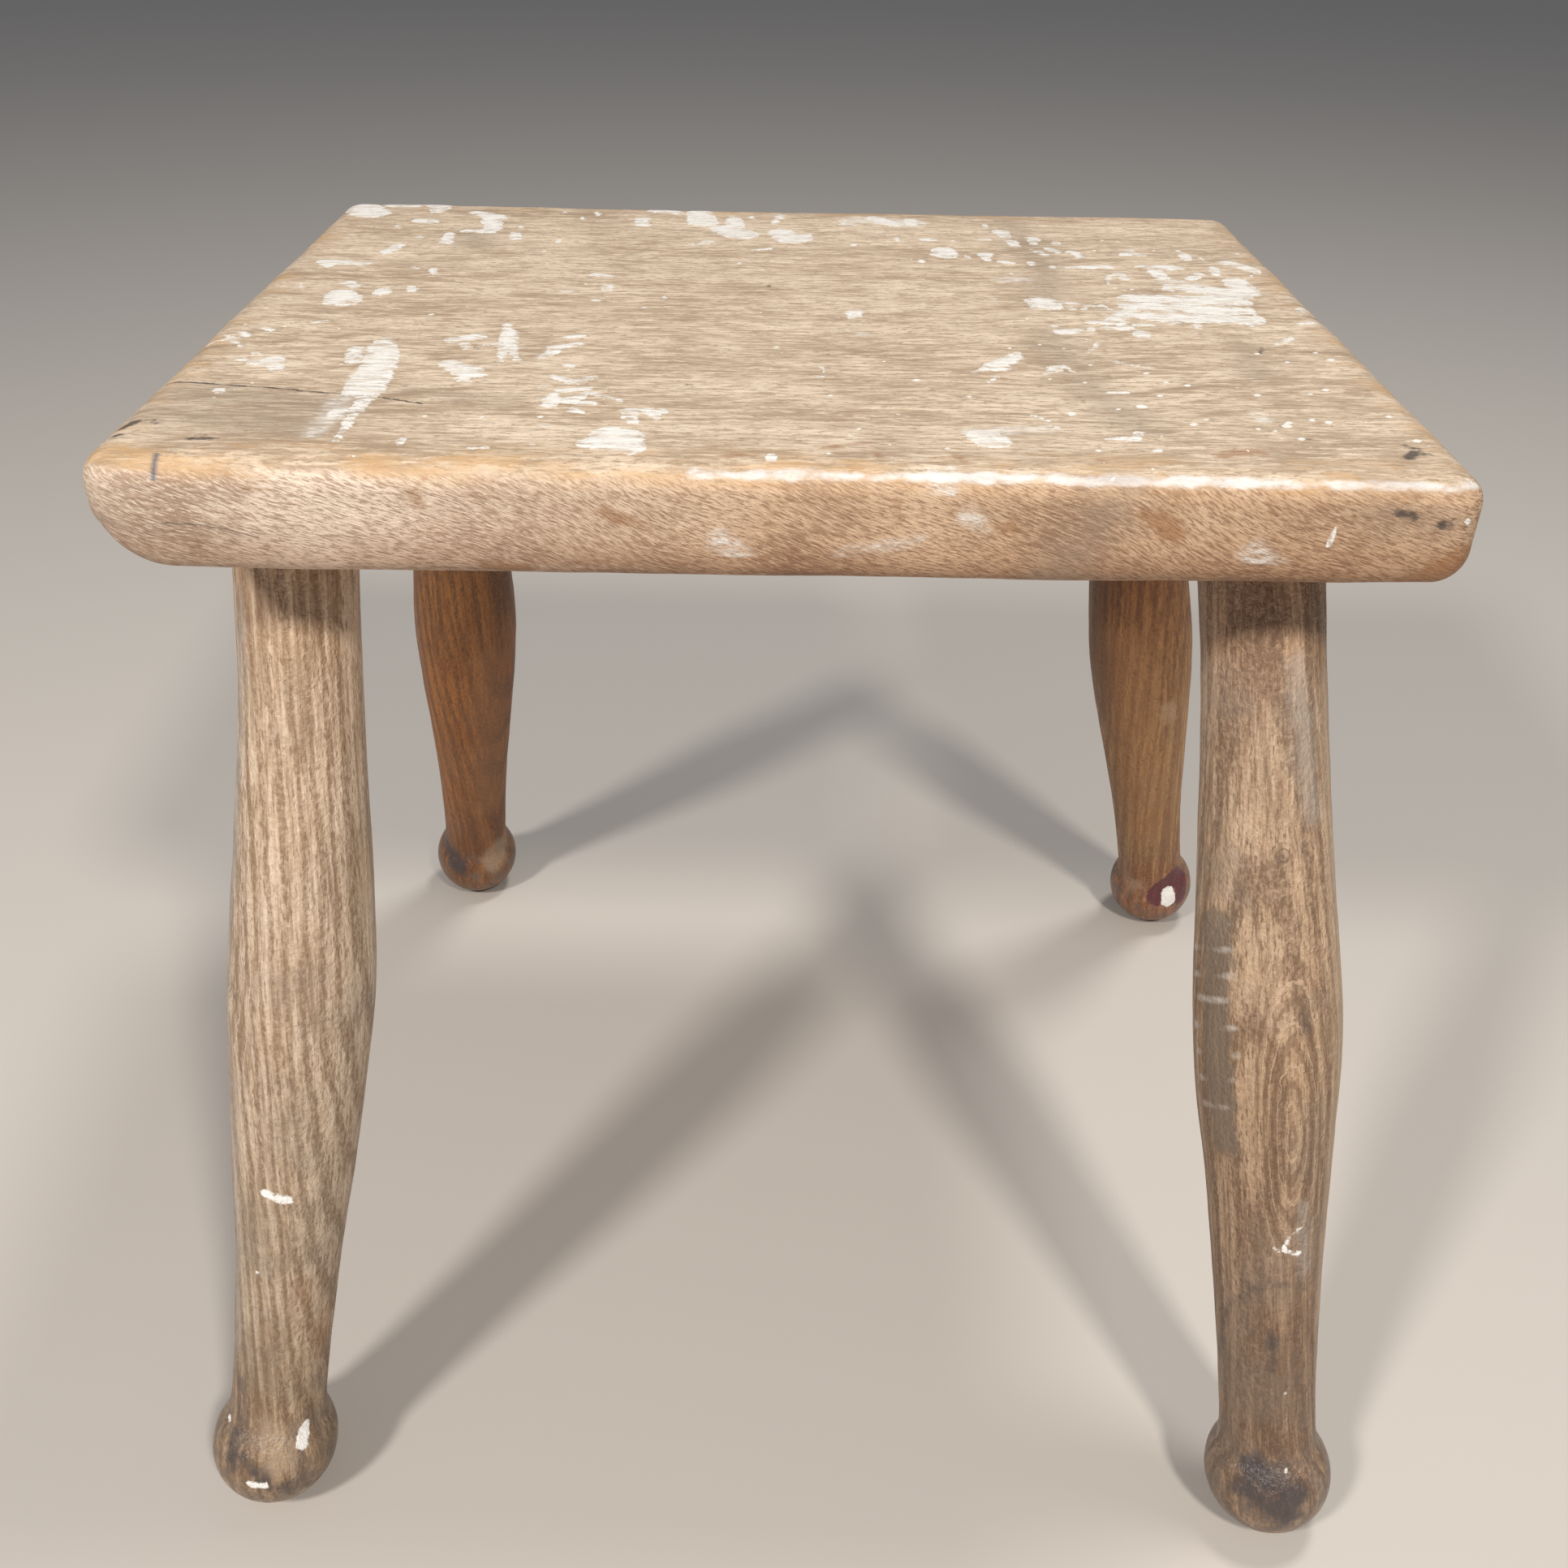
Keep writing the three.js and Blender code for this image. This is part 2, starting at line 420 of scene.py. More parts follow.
def makeBoard(settings):
    bpy.ops.object.select_all(action="DESELECT")
    bpy.ops.mesh.primitive_cube_add(size=1, location=seatMiddle)
    board = bpy.context.active_object
    board.name = "seatBoard"
    bpy.ops.transform.resize(value=seatSize)
    bpy.ops.object.transform_apply(location=True, rotation=True, scale=True)
    editMode()
    pick(board.data.vertices, pointsOf(board)[:, 1] < seatMiddle.y)
    bpy.ops.transform.resize(value=(settings["frontShare"], 1, 1), center_override=seatMiddle)
    objectMode()
    for axis, rounds in enumerate(settings["cells"]):
        for parts in rounds:
            divideAlong(board, axis, parts - 1)
    return board


def wearEdges(board, settings):  # turns the square edges into worn round ones
    points = pointsOf(board)
    place = (points - np.array(seatMiddle)) / mm
    half = np.array(seatSize) / mm / 2
    narrow = 1 - (1 - settings["frontShare"]) * (0.5 - place[:, 1] / half[1] / 2)
    place[:, 0] /= narrow
    unit = place / half
    shoulder = half[2] - settings["roundTop"]
    upper = place[:, 2] > shoulder
    left = smoothStep(0.2, 0.9, -unit[:, 0]) * smoothStep(0, 12, shoulder - place[:, 2])
    reach = np.empty_like(place)
    reach[:, 0] = settings["roundEnd"] + (settings["leftEnd"][0] - settings["roundEnd"]) * left
    reach[:, 1] = settings["roundSide"]
    low = settings["roundBottom"] + (settings["leftEnd"][1] - settings["roundBottom"]) * left
    reach[:, 2] = np.where(upper, settings["roundTop"], low)
    core = np.clip(place, -half + reach, half - reach)
    core[:, 2] = np.where(upper, shoulder, np.maximum(place[:, 2], -half[2] + low))
    offset = (place - core) / reach
    length = np.linalg.norm(offset, axis=1)
    outermost = np.abs(offset).max(axis=1)
    worn = length > 1e-6
    scale = np.ones(len(place))
    scale[worn] = outermost[worn] / length[worn]
    place = core + offset * scale[:, None] * reach
    place[:, 0] *= narrow
    low = smoothStep(0.0, 1.0, -place[:, 2] / half[2])
    place[:, 2] += low * (settings["thinRight"] * np.maximum(unit[:, 0], 0))
    place[:, 2] += low * (settings["thinLeft"] * np.maximum(-unit[:, 0], 0))
    dip = settings["crown"] * (1 - unit[:, 0] ** 2) * (1 - unit[:, 1] ** 2)
    place[:, 2] -= np.where(upper, np.clip(dip, 0, None), 0)
    movePoints(board, np.array(seatMiddle) + place * mm)


# white paint on the top: x, y, x, y from the middle in millimetres, then the radius at each end

paintStrokes = [
    # back left corner and the back edge
    (-146, 118, -141, 108, 6, 7), (-136, 121, -124, 122, 3, 3), (-119, 119, -119, 110, 4, 2),
    (-122, 97, -118, 96, 3, 3), (-128, 90, -127, 87, 0.8, 0.8), (-118, 76, -117, 73, 1, 1),
    (-105, 110, -97, 105, 3, 3.5), (-99, 101, -96, 88, 3.5, 3), (-104, 84, -97, 84, 2.2, 2.6),
    (-109, 81, -108, 68, 1.5, 2.2), (-88, 83, -87, 76, 1.6, 2.2), (-88, 92, -87, 90, 0.9, 1),
    (-76, 115, -76, 112, 0.7, 0.6), (-65, 116, -64, 110, 1, 1), (-69, 108, -69, 105, 0.9, 0.8),
    (-73, 75, -73, 72, 1, 1), (-46, 120, -38, 118, 2.2, 2.6), (-49, 108, -48, 98, 2.4, 2.6),
    (-30, 118, -28, 104, 4.5, 5.5), (-18, 112, -17, 100, 2.6, 3.5), (-21, 95, -15, 88, 5, 6.5),
    (-2, 92, 2, 82, 4.5, 6), (6, 88, 6, 82, 2.2, 2.4), (-2, 116, -4, 106, 1.6, 1.1),
    (-12, 114, -12, 112, 1, 1), (-10, 66, -5, 69, 1.2, 1), (-27, 74, -25, 77, 1.4, 1.6),
    (-30, 73, -30, 71, 0.8, 0.8),
    # left side
    (-122, 64, -124, 55, 2, 2.2), (-139, 41, -133, 41, 3.2, 2.6), (-129, 40, -127, 40, 1.8, 1.6),
    (-138, 38, -138, 36, 2.4, 1.6), (-112, 38, -110, 35, 0.7, 0.6), (-106, 36, -104, 28, 0.9, 1.3),
    (-127, 18, -123, 13, 2.4, 1.4), (-115, 11, -115, 7, 2.4, 2.2), (-108, 15, -107, 11, 1.2, 1.6),
    (-140, 14, -138, 12, 0.9, 0.9), (-126, 6, -125, -3, 4.2, 4), (-121, 3, -120, -4, 1.6, 1.2),
    (-126, -23, -123, -21, 1.1, 0.7), (-137, -30, -135, -32, 1.1, 0.9), (-142, -35, -140, -37, 1.3, 0.8),
    (-145, -38, -143, -40, 1.3, 1.5), (-142, -42, -139, -46, 1, 0.6), (-149, -43, -145, -41, 0.6, 0.5),
    (-128, -57, -125, -64, 3.6, 1.6), (-132, -59, -129, -57, 1.8, 2.6), (-136, -56, -135, -57, 1.2, 1.1),
    (-134, -51, -133, -52, 1.2, 1), (-134, -81, -133, -83, 1.4, 1.2), (-133, -87, -133, -87, 0.6, 0.6),
    # the long brushed streak
    (-110, -46, -108, -57, 2.2, 1.8), (-104, -39, -104, -40, 2.6, 2.4), (-103, -45, -101, -56, 3.8, 4.6),
    (-101, -60, -100, -79, 4.4, 5.2), (-98.5, -80, -98, -112, 2.4, 0.8), (-98, -110, -98, -116, 0.9, 0.3),
    (-102, -95, -102, -98, 2.4, 2.2),
    # left middle
    (-87, -37, -81, -33, 2.2, 2.6), (-83, -40, -82, -44, 1.6, 1), (-75, -21, -74, -27, 1.2, 1.4),
    (-73, -29, -71, -45, 2.4, 2.8), (-73, -45, -71, -58, 0.9, 0.4), (-70, -45, -67, -54, 1.4, 0.5),
    (-77, -40, -75, -40, 0.9, 0.8), (-61, -50, -59, -43, 1.6, 2.2), (-59, -42, -54, -38.5, 2.2, 1.4),
    (-84, -57, -78, -64, 3, 4.2), (-80, -62, -74, -66, 3.6, 1.6), (-79, -69, -76, -73, 1.6, 0.5),
    (-57, -66, -52, -70, 1.2, 1.8), (-51, -70, -47, -66, 1.8, 1.3), (-59, -74, -57, -74, 0.9, 0.8),
    (-54, -77, -47, -75, 1.5, 1.1), (-55, -80, -55, -87, 1.6, 2.4), (-51, -85, -47, -79, 1.9, 1.5),
    (-46, -79, -39, -84, 1.4, 1.1), (-48, -86, -45, -86, 1.7, 1.3), (-49, -91, -46, -93, 1.3, 0.6),
    (-55, -57, -52, -57, 1.1, 0.6), (-54, -57, -54, -61, 0.7, 0.4),
    # front, left of the middle
    (-37, -91, -29, -91, 1.6, 2), (-37, -92, -34, -99, 1.6, 1.1), (-30, -92, -29, -97, 2, 0.8),
    (-39, -107, -36, -109, 4.4, 5), (-43, -113, -35, -115, 3, 5), (-84, -113, -84, -115, 1.1, 1),
    (-68, -117, -65, -117, 0.9, 0.8), (-55, -102, -53, -102, 0.9, 0.6), (-3, -119, -3, -123, 1.1, 0.9),
    (-57, -32, -53, -31, 1.5, 1.1), (-57, 32, -53, 31, 1.6, 1.3), (-52, 20, -52, 17, 1.5, 1.6),
    (-34.5, 9, -34.5, 8, 0.9, 0.8), (-54, 5, -53, 5, 0.9, 0.8),
    # back, right of the middle
    (19, 110, 19, 104, 1.4, 1.2), (22, 105, 23, 104, 1.6, 1.4), (30, 114, 36, 105, 3.4, 3),
    (42, 112, 42, 105, 2.2, 2.4), (36, 86, 36, 82, 0.9, 1.1), (45, 84, 47, 84, 1.9, 2),
    (50, 70, 50, 66, 4.2, 4.6), (57, 64, 57, 62, 1.3, 1.3), (63, 67, 63, 58, 2.6, 1),
    (67, 57, 70, 55, 1.7, 1.6), (76, 56, 76, 54, 1.3, 1.2), (42, 58, 42, 56, 1, 0.9),
    (67, 107, 67, 104, 1.1, 1), (71, 97, 72, 91, 3, 2.4), (62, 87, 66, 86, 0.9, 1.4),
    (73, 84, 74, 78, 2.2, 1.6), (81, 89, 80, 81, 2.3, 1.2), (88, 84, 88, 82, 1.8, 1.6),
    (82, 66, 80, 71, 1.3, 1.3), (84, 75, 86, 70, 1.6, 1.2), (91, 71, 93, 64, 1.7, 1.3),
    (108, 69, 112, 68, 2.6, 2.2), (110, 74, 111, 73, 1.4, 1.3), (126, 76, 126, 74, 0.9, 0.8),
    (127, 70, 126, 63, 2.3, 1.6), (131, 66, 131, 63, 1, 1), (138, 59, 144, 50, 3.2, 2.2),
    (144, 50, 144, 47, 2.2, 1.4), (88, 51, 99, 52, 1.6, 2.2), (82, 52, 82, 50, 0.8, 0.7),
    (110, 53, 120, 52, 2.4, 2.8), (113, 47, 114, 40, 2.6, 2), (132, 53, 131, 45, 1.5, 1.3),
    (126, 45, 122, 39, 2, 1.6), (101, 43, 102, 38, 1.9, 1.6), (98, 42, 96, 32, 0.9, 0.6),
    # the big worn patch on the right
    (135, 37, 136, 25, 4.2, 4), (119, 28, 132, 23, 4.5, 5), (114, 31, 113, 27, 2.2, 2.6),
    (100, 16, 124, 15, 4.5, 5.2), (126, 18, 131, 14, 5, 3.5), (98, 8, 126, 5, 4, 5),
    (97, 2, 90, -8, 2.6, 2.4), (101, -3, 129, -5, 4.4, 4.6), (84, -10, 92, -10, 1.7, 2),
    (88, -15, 93, -15, 1.9, 1.9), (97, -12, 100, -12, 1.7, 1.5), (105, -10, 108, -9, 1.7, 1.5),
    (113, -11, 113, -14, 1.4, 0.9), (128, -10, 129, -13, 1.5, 0.8), (132, 8, 132, -8, 0.9, 0.9),
    (73, 12, 74, 7, 4.6, 4.8), (78, 12, 81, 10, 1.6, 0.8), (82, 10, 88, 7, 1.2, 0.9),
    (81, 8, 81, 2, 0.7, 0.6), (85, 8, 84, 2, 0.9, 0.6), (90, 8, 92, 3, 0.8, 0.6),
    (60, 14, 60, 13, 1, 0.9), (148, 9, 146, 6, 1.8, 1.6), (146, -7, 142, -8, 1.5, 1.2),
    # right side
    (19, -3, 19, -7, 2.3, 2.2), (74, -20, 79, -18, 2.4, 1.9), (73, -14, 73, -14, 1, 1),
    (83, -16, 83, -17, 1, 0.8), (96, -20, 96, -22, 2.6, 2.2), (83, -29, 79, -38, 0.9, 0.3),
    (131, -28, 136, -22, 1.4, 0.9), (59, -43, 53, -52, 2.4, 3.4), (60, -39, 59, -42, 0.6, 1.6),
    (51, -53, 47, -57, 2, 0.5), (69, -51, 65, -57, 2.2, 0.7), (70, -50, 72, -54, 1.4, 0.5),
    (9, -53, 10, -60, 0.6, 0.4), (8.5, -63, 8.5, -63, 1.2, 1.2), (84, -45, 92, -50, 0.6, 0.5),
    (53, -59, 50, -64, 0.4, 0.4), (79, -70, 83, -70, 0.9, 0.7), (58, -89, 61, -93, 0.8, 0.4),
    (61.5, -96, 62.5, -99, 0.7, 0.5), (67, -86, 67, -88, 0.9, 0.8), (44, -103, 46, -107, 3.6, 4.4),
    (46, -101, 46, -101, 1.6, 1.6), (72, -105, 79, -104, 1, 1.6), (79, -104, 80, -100, 1.6, 1),
    (81, -113, 83, -111, 0.8, 0.8),
]

# single drops of paint: x, y, radius
paintDrops = [
    (32, -64.5, 1), (44, -76, 0.7), (11, -77, 0.7), (84.5, -80.5, 1.5), (79, -83, 0.7), (90, -72, 0.9),
    (94, -62, 0.7), (99, -64, 1), (91, -54.5, 0.9), (114, -71, 1.1), (127, -70, 0.7), (132, -66, 1.1),
    (140.5, -42, 1.2), (139, -36, 0.8), (123.5, -37, 0.8), (129, -44, 0.8), (94, -94, 1.1),
    (115.5, -94, 1.3), (117, -91, 1), (126, -90.5, 1.1), (123, -88.5, 0.9), (108, -96, 0.7),
    (112, -97, 0.6), (98, -90, 0.7), (142, -85, 0.9), (143, -102, 1.2), (116, -102, 1),
    (67, -32, 0.6), (59, -36, 0.6), (77, -48, 0.6), (74, -62.5, 0.6), (17, -101, 0.7), (9, -117, 0.6),
    (36, -113, 0.7), (69, -112, 0.8), (-82, -97, 0.6), (-69, -97, 0.6), (-56, -96, 0.8), (-97, -13, 0.9),
    (-143, -27, 0.5), (-133, -28, 0.5), (-118, -29, 0.5), (-76, 59, 0.9), (-15, 50, 0.8), (22, 76, 1.3),
    (54, 83, 0.8), (97, 27, 0.7), (102, 26, 0.8), (144, 72, 0.9), (142, 44, 0.7), (-2, -37, 0.8),
    (104, 88, 0.7), (108, 87, 0.7), (118, 75, 0.7), (99, 74, 0.8), (25, -48, 0.5), (66, -61, 0.6),
]

# thin, rubbed or watery paint
faintStrokes = [
    (-101, -60, -103, -70, 3.5, 3.5), (-104, -84, -104, -110, 2.6, 2.4), (24, 112, 42, 107, 5, 6),
    (65, 36, 71, 37, 2.6, 3), (-62, -50, -61, -55, 1, 0.7), (111, -85, 111, -90, 1.6, 1.8),
    (-64, 14, -62, 14, 1.6, 1.4), (20, -23, 22, -24, 1.3, 1.2), (33, -127, 35, -128, 2.2, 1.8),
    (42, -101, 60, -98, 2.5, 2.5), (113, 36, 122, 33, 3, 3), (88, 3, 98, 1, 1, 1),
]

# other marks on the seat: x, y, z at each end from the middle of the top, then two radii

frontY = -seatSize.y / mm / 2

brownMarks = [
    ((-115, frontY, -6), (-98, frontY, -3), 1.2, 1.8), ((-81, frontY, -3), (-78, frontY, -9), 1.4, 1.6),
    ((-39, frontY, -10), (-31, frontY, -13), 1.6, 2), ((24, frontY, -5), (25, frontY, -10), 1.1, 1.1),
    ((77, frontY, -8), (84, frontY, -12), 2, 3), ((37, -117, 0), (39, -121, 0), 0.9, 1.1),
    ((19.5, -116, 0), (20.5, -119, 0), 1.1, 1.3), ((-98, -117, 0), (-98, -119, 0), 1.2, 1.4),
    ((95, -114, 0), (104, -111, 0), 2.2, 2.6), ((68, -118, 0), (69, -120, 0), 1, 1.2),
    ((-66, frontY, -24), (-58, frontY, -25), 1.6, 2.6), ((-48, frontY, -20), (-40, frontY, -22), 0.9, 0.8),
    ((8, -114, 0), (18, -110, 0), 1.1, 1.2), ((150, -116, -14), (149, -90, -12), 4, 5),
    ((148, frontY, -19), (138, frontY, -26), 5, 4), ((-150, -112, -9), (-148, -122, -14), 1.4, 2),
    ((-6, -119, 0), (-14, -120, 0), 0.8, 0.9), ((46, frontY, -12), (50, frontY, -12), 1, 1.2),
]
darkMarks = [
    ((137, -113, 0), (139, -110, 0), 1.4, 1.6), ((139, -109, 0), (143, -111, 0), 1, 0.8),
    ((139, -105, 0), (141, -107, 0), 0.8, 0.9), ((-147, -108, 0), (-145, -104, 0), 1.5, 1.3),
    ((-142, -103, 0), (-140, -106, 0), 0.8, 0.8), ((-130, -115, 0), (-124, -115, 0), 0.8, 0.9),
    ((-128, -112, 0), (-127, -113, 0), 0.9, 0.7), ((-148, -115, -1), (-146, -113, 0), 1, 1.2),
    ((-23.5, -69.5, 0), (-23.5, -70, 0), 1, 1), ((-5, 24, 0), (-5, 23, 0), 0.9, 0.8),
    ((71, -74, 0), (71, -74.5, 0), 0.6, 0.6), ((118, -102, 0), (118.5, -102, 0), 0.6, 0.5),
    ((-66, -121, -1), (-64, -125, -3), 0.5, 0.4), ((131, frontY, -7), (135, frontY, -8), 0.9, 1.2),
    ((141, frontY, -9), (146, frontY, -8), 0.3, 0.3), ((141, frontY, -10.5), (147, frontY, -9.5), 0.25, 0.3),
    ((126, -31, 0), (124, -36, 0), 0.5, 0.6), ((-80, -42, 0), (-79, -44, 0), 0.4, 0.4),
]
greyStains = [  # large, soft and faint
    ((-100, 77, 0), (-98, 68, 0), 7, 7), ((76, 112, 0), (79, 60, 0), 5, 6), ((80, 56, 0), (75, 18, 0), 6, 5),
    ((72, -22, 0), (71, -46, 0), 5, 7), ((74, -60, 0), (80, -95, 0), 5, 6),
    ((-140, -84, 0), (-104, -92, 0), 8, 9), ((-140, -98, 0), (-106, -106, 0), 8, 8),
    ((-88, -80, 0), (-66, -86, 0), 4, 4),
    ((122, -30, 0), (118, -56, 0), 3, 5), ((71, frontY, -4), (60, frontY, -24), 5, 6),
    ((125, frontY, -5), (140, frontY, -9), 3, 3),
]
blueTick = [((-139.5, frontY, -5.5), (-134, frontY, 0), 0.8, 0.7)]
whiteSmears = [
    ((-14, frontY, -16), (-6, frontY, -24), 2.6, 3.2), ((5, frontY, -24), (14, frontY, -18), 0.7, 0.9),
    ((14, frontY, -18), (30, frontY, -15), 0.9, 0.6),
    ((40, frontY, -9), (43, frontY, -12), 2.2, 1.6), ((102, frontY, -17), (110, frontY, -21), 3, 2),
]
frontTicks = [
    ((118.5, frontY, -11), (118, frontY, -15), 0.6, 0.4), ((147, frontY, -9), (147, frontY, -9), 0.9, 0.9),
]
paintedSheenMarks = [  # painted highlight on the rubbed crest of the front edge, where the light overhead is mirrored
    ((-20, frontY, 0), (40, frontY, 0), 0.8, 1.6), ((40, frontY, 0), (150, frontY, 0), 1.8, 1),
]
topSplit = [(-154, -75), (-139, -75.5), (-122, -78), (-96, -83), (-84, -88)]  # x, y along the thin split
faceSplit = [(-134, -14), (-126, -14.5), (-120, -15.5), (-114, -17.5)]  # x, z of a hairline in the front


def onTop(strokes):
    return [(seatPoint(a, b), seatPoint(c, d), r * mm, s * mm) for a, b, c, d, r, s in strokes]


def onSeat(marks):
    thin = seat["thinnest"]
    return [
        (seatPoint(*start), seatPoint(*end), max(r, thin) * mm, max(s, thin) * mm)
        for start, end, r, s in marks
    ]


def besideLine(place, line, axis, off):  # mm to one side of a line drawn along X, large past its ends
    xs, others = np.array(line, dtype=np.float64).T
    past = np.maximum(place[:, 0] - xs[-1], 0) + np.maximum(xs[0] - place[:, 0], 0)
    side = place[:, axis] - np.interp(place[:, 0], xs, others)
    return np.clip(side + np.sign(side) * (past + off) * 3, -9, 9)


def ontoNearest(points, x, y):  # a small drop is centred on a corner of the mesh, to keep its size
    away = np.hypot(points[:, 0] - seatMiddle.x - x * mm, points[:, 1] - seatMiddle.y - y * mm)
    away[points[:, 2] < seatMiddle.z] = 1
    nearest = points[away.argmin()]
    return nearest[0], nearest[1], seatHigh.z


def markSeat(board, settings):
    points = pointsOf(board)
    normals = vectorsOf(board.data.vertex_normals, "vector")
    place = (points - np.array(seatMiddle)) / mm
    place[:, 2] -= seatSize.z / mm / 2
    flat = points.copy()
    flat[:, 2] = np.where(normals[:, 2] > 0.3, seatHigh.z, points[:, 2])
    flat[:, 1] = np.where(normals[:, 1] < -0.3, seatLow.y, flat[:, 1])

    def insideMarks(marks):
        return insideAny(flat, marks) / mm

    drops = [(ontoNearest(points, x, y), r * mm) for x, y, r in paintDrops]
    painted = {
        "paint": insideMarks(onTop(paintStrokes)),
        "drops": insideMarks([(spot, spot, r, r) for spot, r in drops] + onSeat(frontTicks)),
        "faintPaint": insideMarks(onTop(faintStrokes) + onSeat(whiteSmears)),
    }
    topOnly = normals[:, 2] > -0.2
    for name, field in painted.items():
        addLayer(board, name, np.where(topOnly, np.clip(field, -4, 4), -4))
    for name, marks, reach in (
        ("brown", brownMarks, 4), ("dark", darkMarks, 4), ("grey", greyStains, 8), ("blue", blueTick, 4)
    ):
        addLayer(board, name, np.clip(insideMarks(onSeat(marks)), -reach, reach))
    # painted highlight: only on the crest of the front rounding, where the light overhead is mirrored
    crest = smoothStep(0.26, 0.04, np.abs(normals[:, 2] - 0.76)) * (normals[:, 1] < -0.2)
    paintedSheen = np.clip(insideMarks(onSeat(paintedSheenMarks)), -6, 6)
    addLayer(board, "paintedSheen", paintedSheen * crest - 6 * (1 - crest))
    split = besideLine(place, topSplit, 1, np.clip(-9 - place[:, 2], 0, 9))
    addLayer(board, "split", split)
    addLayer(board, "hairline", besideLine(place, faceSplit, 2, 9 * (normals[:, 1] > -0.5)))
    addLayer(board, "endToEnd", 0.5 + place[:, 0] * mm / seatSize.x)
    addLayer(board, "lowDown", smoothStep(-9, -25, place[:, 2]))
    addLayer(board, "upward", smoothStep(0.55, 0.8, normals[:, 2]))
    half = np.array(seatSize)[:2] / mm / 2
    edge = (half - np.abs(place[:, :2])).min(axis=1)
    addLayer(board, "rubbed", smoothStep(17, 4, edge) * smoothStep(-6.5, -1.5, place[:, 2]))
    thick = np.maximum(painted["paint"], painted["drops"])
    raised = settings["paintThickness"] * smoothStep(-0.4, 0.8, thick) * topOnly
    groove = settings["splitDepth"] * smoothStep(1.2, 0.1, np.abs(split))
    movePoints(board, points + normals * ((raised - groove) * mm)[:, None])


def farFromEdges(points, inset):  # how far a place lies inside a line set in from the edges
    reach = np.array(seatSize)[:2] / mm / 2 - inset
    return (reach - np.abs(points[:, :2] - np.array(seatMiddle)[:2]) / mm).min(axis=1)


def levelUnderside(board, settings):  # the legs stand against a flat stretch
    points = pointsOf(board)
    flat = smoothStep(-8, 0, farFromEdges(points, settings["flatBelow"]))
    flat *= points[:, 2] < seatMiddle.z
    points[:, 2] += (underside - points[:, 2]) * flat
    movePoints(board, points)
    centres = vectorsOf(board.data.polygons, "center")
    hidden = (farFromEdges(centres, settings["flatBelow"]) > 0) & (centres[:, 2] < seatMiddle.z)
    editMode("FACE")
    pick(board.data.polygons, hidden)
    bpy.ops.mesh.unsubdivide(iterations=4)
    objectMode()


def boreSockets(board, settings):  # a slanted blind hole for each leg's tenon
    for name in legs:
        top, ball = legAxes[name]
        down = (ball - top).normalized()
        depth = settings["socketDepth"] * mm
        bpy.ops.object.select_all(action="DESELECT")
        bpy.ops.mesh.primitive_cylinder_add(
            vertices=settings["drillSides"],
            radius=settings["socketRadius"] * mm,
            depth=depth * 2,
            location=top,
            rotation=(-down).to_track_quat("Z", "Y").to_euler(),
        )
        drill = bpy.context.active_object
        cut = board.modifiers.new(name + "Socket", "BOOLEAN")
        cut.operation = "DIFFERENCE"
        cut.solver = "FAST"
        cut.object = drill
        only(board)
        bpy.ops.object.modifier_apply(modifier=cut.name)
        bpy.data.objects.remove(drill)


def makeSeat(settings):
    board = makeBoard(settings)
    wearEdges(board, settings)
    for name, size, strength in settings["unevenness"]:
        waver(board, name, size, strength)
    applyAll(board)
    levelUnderside(board, settings)
    boreSockets(board, settings)
    only(board)
    bpy.ops.object.shade_smooth_by_angle(angle=softAngle)
    markSeat(board, settings)
    return board


# the legs: their shape

turning = {
    "sides": 24,
    "fineness": 3,
    "ballRadius": 18.2,  # mm, as all lengths here
    "ballHalfLength": 18.6,
    "ballHeight": 17.7,  # floor to the ball's centre
    "ballSteps": 12,
    "gap": 0.3,
    "tenonRadius": 12.4,
    "tenonLength": 17.0,
    "above": 9.0,  # run past the underside before it is cut level
    "steps": 26,
    "bowHigh": 0.85,  # less than 1 puts the fullest part of a bow above the middle
    "lumpSize": 35,
    "rippleSize": 9,
    "ripples": 0.18,
    "profile": [  # share of the way from the underside to the ball's centre, radius
        (-0.04, 15.9), (0.0, 15.9), (0.19, 15.9), (0.35, 18.1), (0.48, 19.9), (0.6, 18.3),
        (0.75, 15.3), (0.86, 13.9), (0.94, 13.6), (1.0, 13.6),
    ],
}

legs = {
    "leg_front_left": {"side": -1, "end": -1, "fromEnd": 28.8, "fromSide": 57.4, "bow": 5.2, "lumps": 0.7},
    "leg_front_right": {"side": 1, "end": -1, "fromEnd": 33.8, "fromSide": 52.9, "bow": 0.8, "lumps": 0.9},
    "leg_back_left": {"side": -1, "end": 1, "fromEnd": 41.1, "fromSide": 51.2, "bow": 1.2, "lumps": 0.6},
    "leg_back_right": {"side": 1, "end": 1, "fromEnd": 39.8, "fromSide": 61.4, "bow": -1.3, "lumps": 0.6},
}


def legAxis(name):  # from the underside to the middle of the ball, as the frame has it
    leg = legs[name]
    low, high = [Vector(corner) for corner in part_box(name)]
    y = seatMiddle.y + leg["end"] * (seatSize.y / 2 - leg["fromSide"] * mm)
    narrow = 1 - (1 - seat["frontShare"]) * (0.5 - (y - seatMiddle.y) / seatSize.y)
    x = seatMiddle.x + leg["side"] * (seatSize.x / 2 * narrow - leg["fromEnd"] * mm)
    radius = turning["ballRadius"] * mm
    ballX = low.x + radius if leg["side"] < 0 else high.x - radius
    ballY = low.y + radius if leg["end"] < 0 else high.y - radius
    return Vector((x, y, underside)), Vector((ballX, ballY, turning["ballHeight"] * mm))


legAxes = {name: legAxis(name) for name in legs}


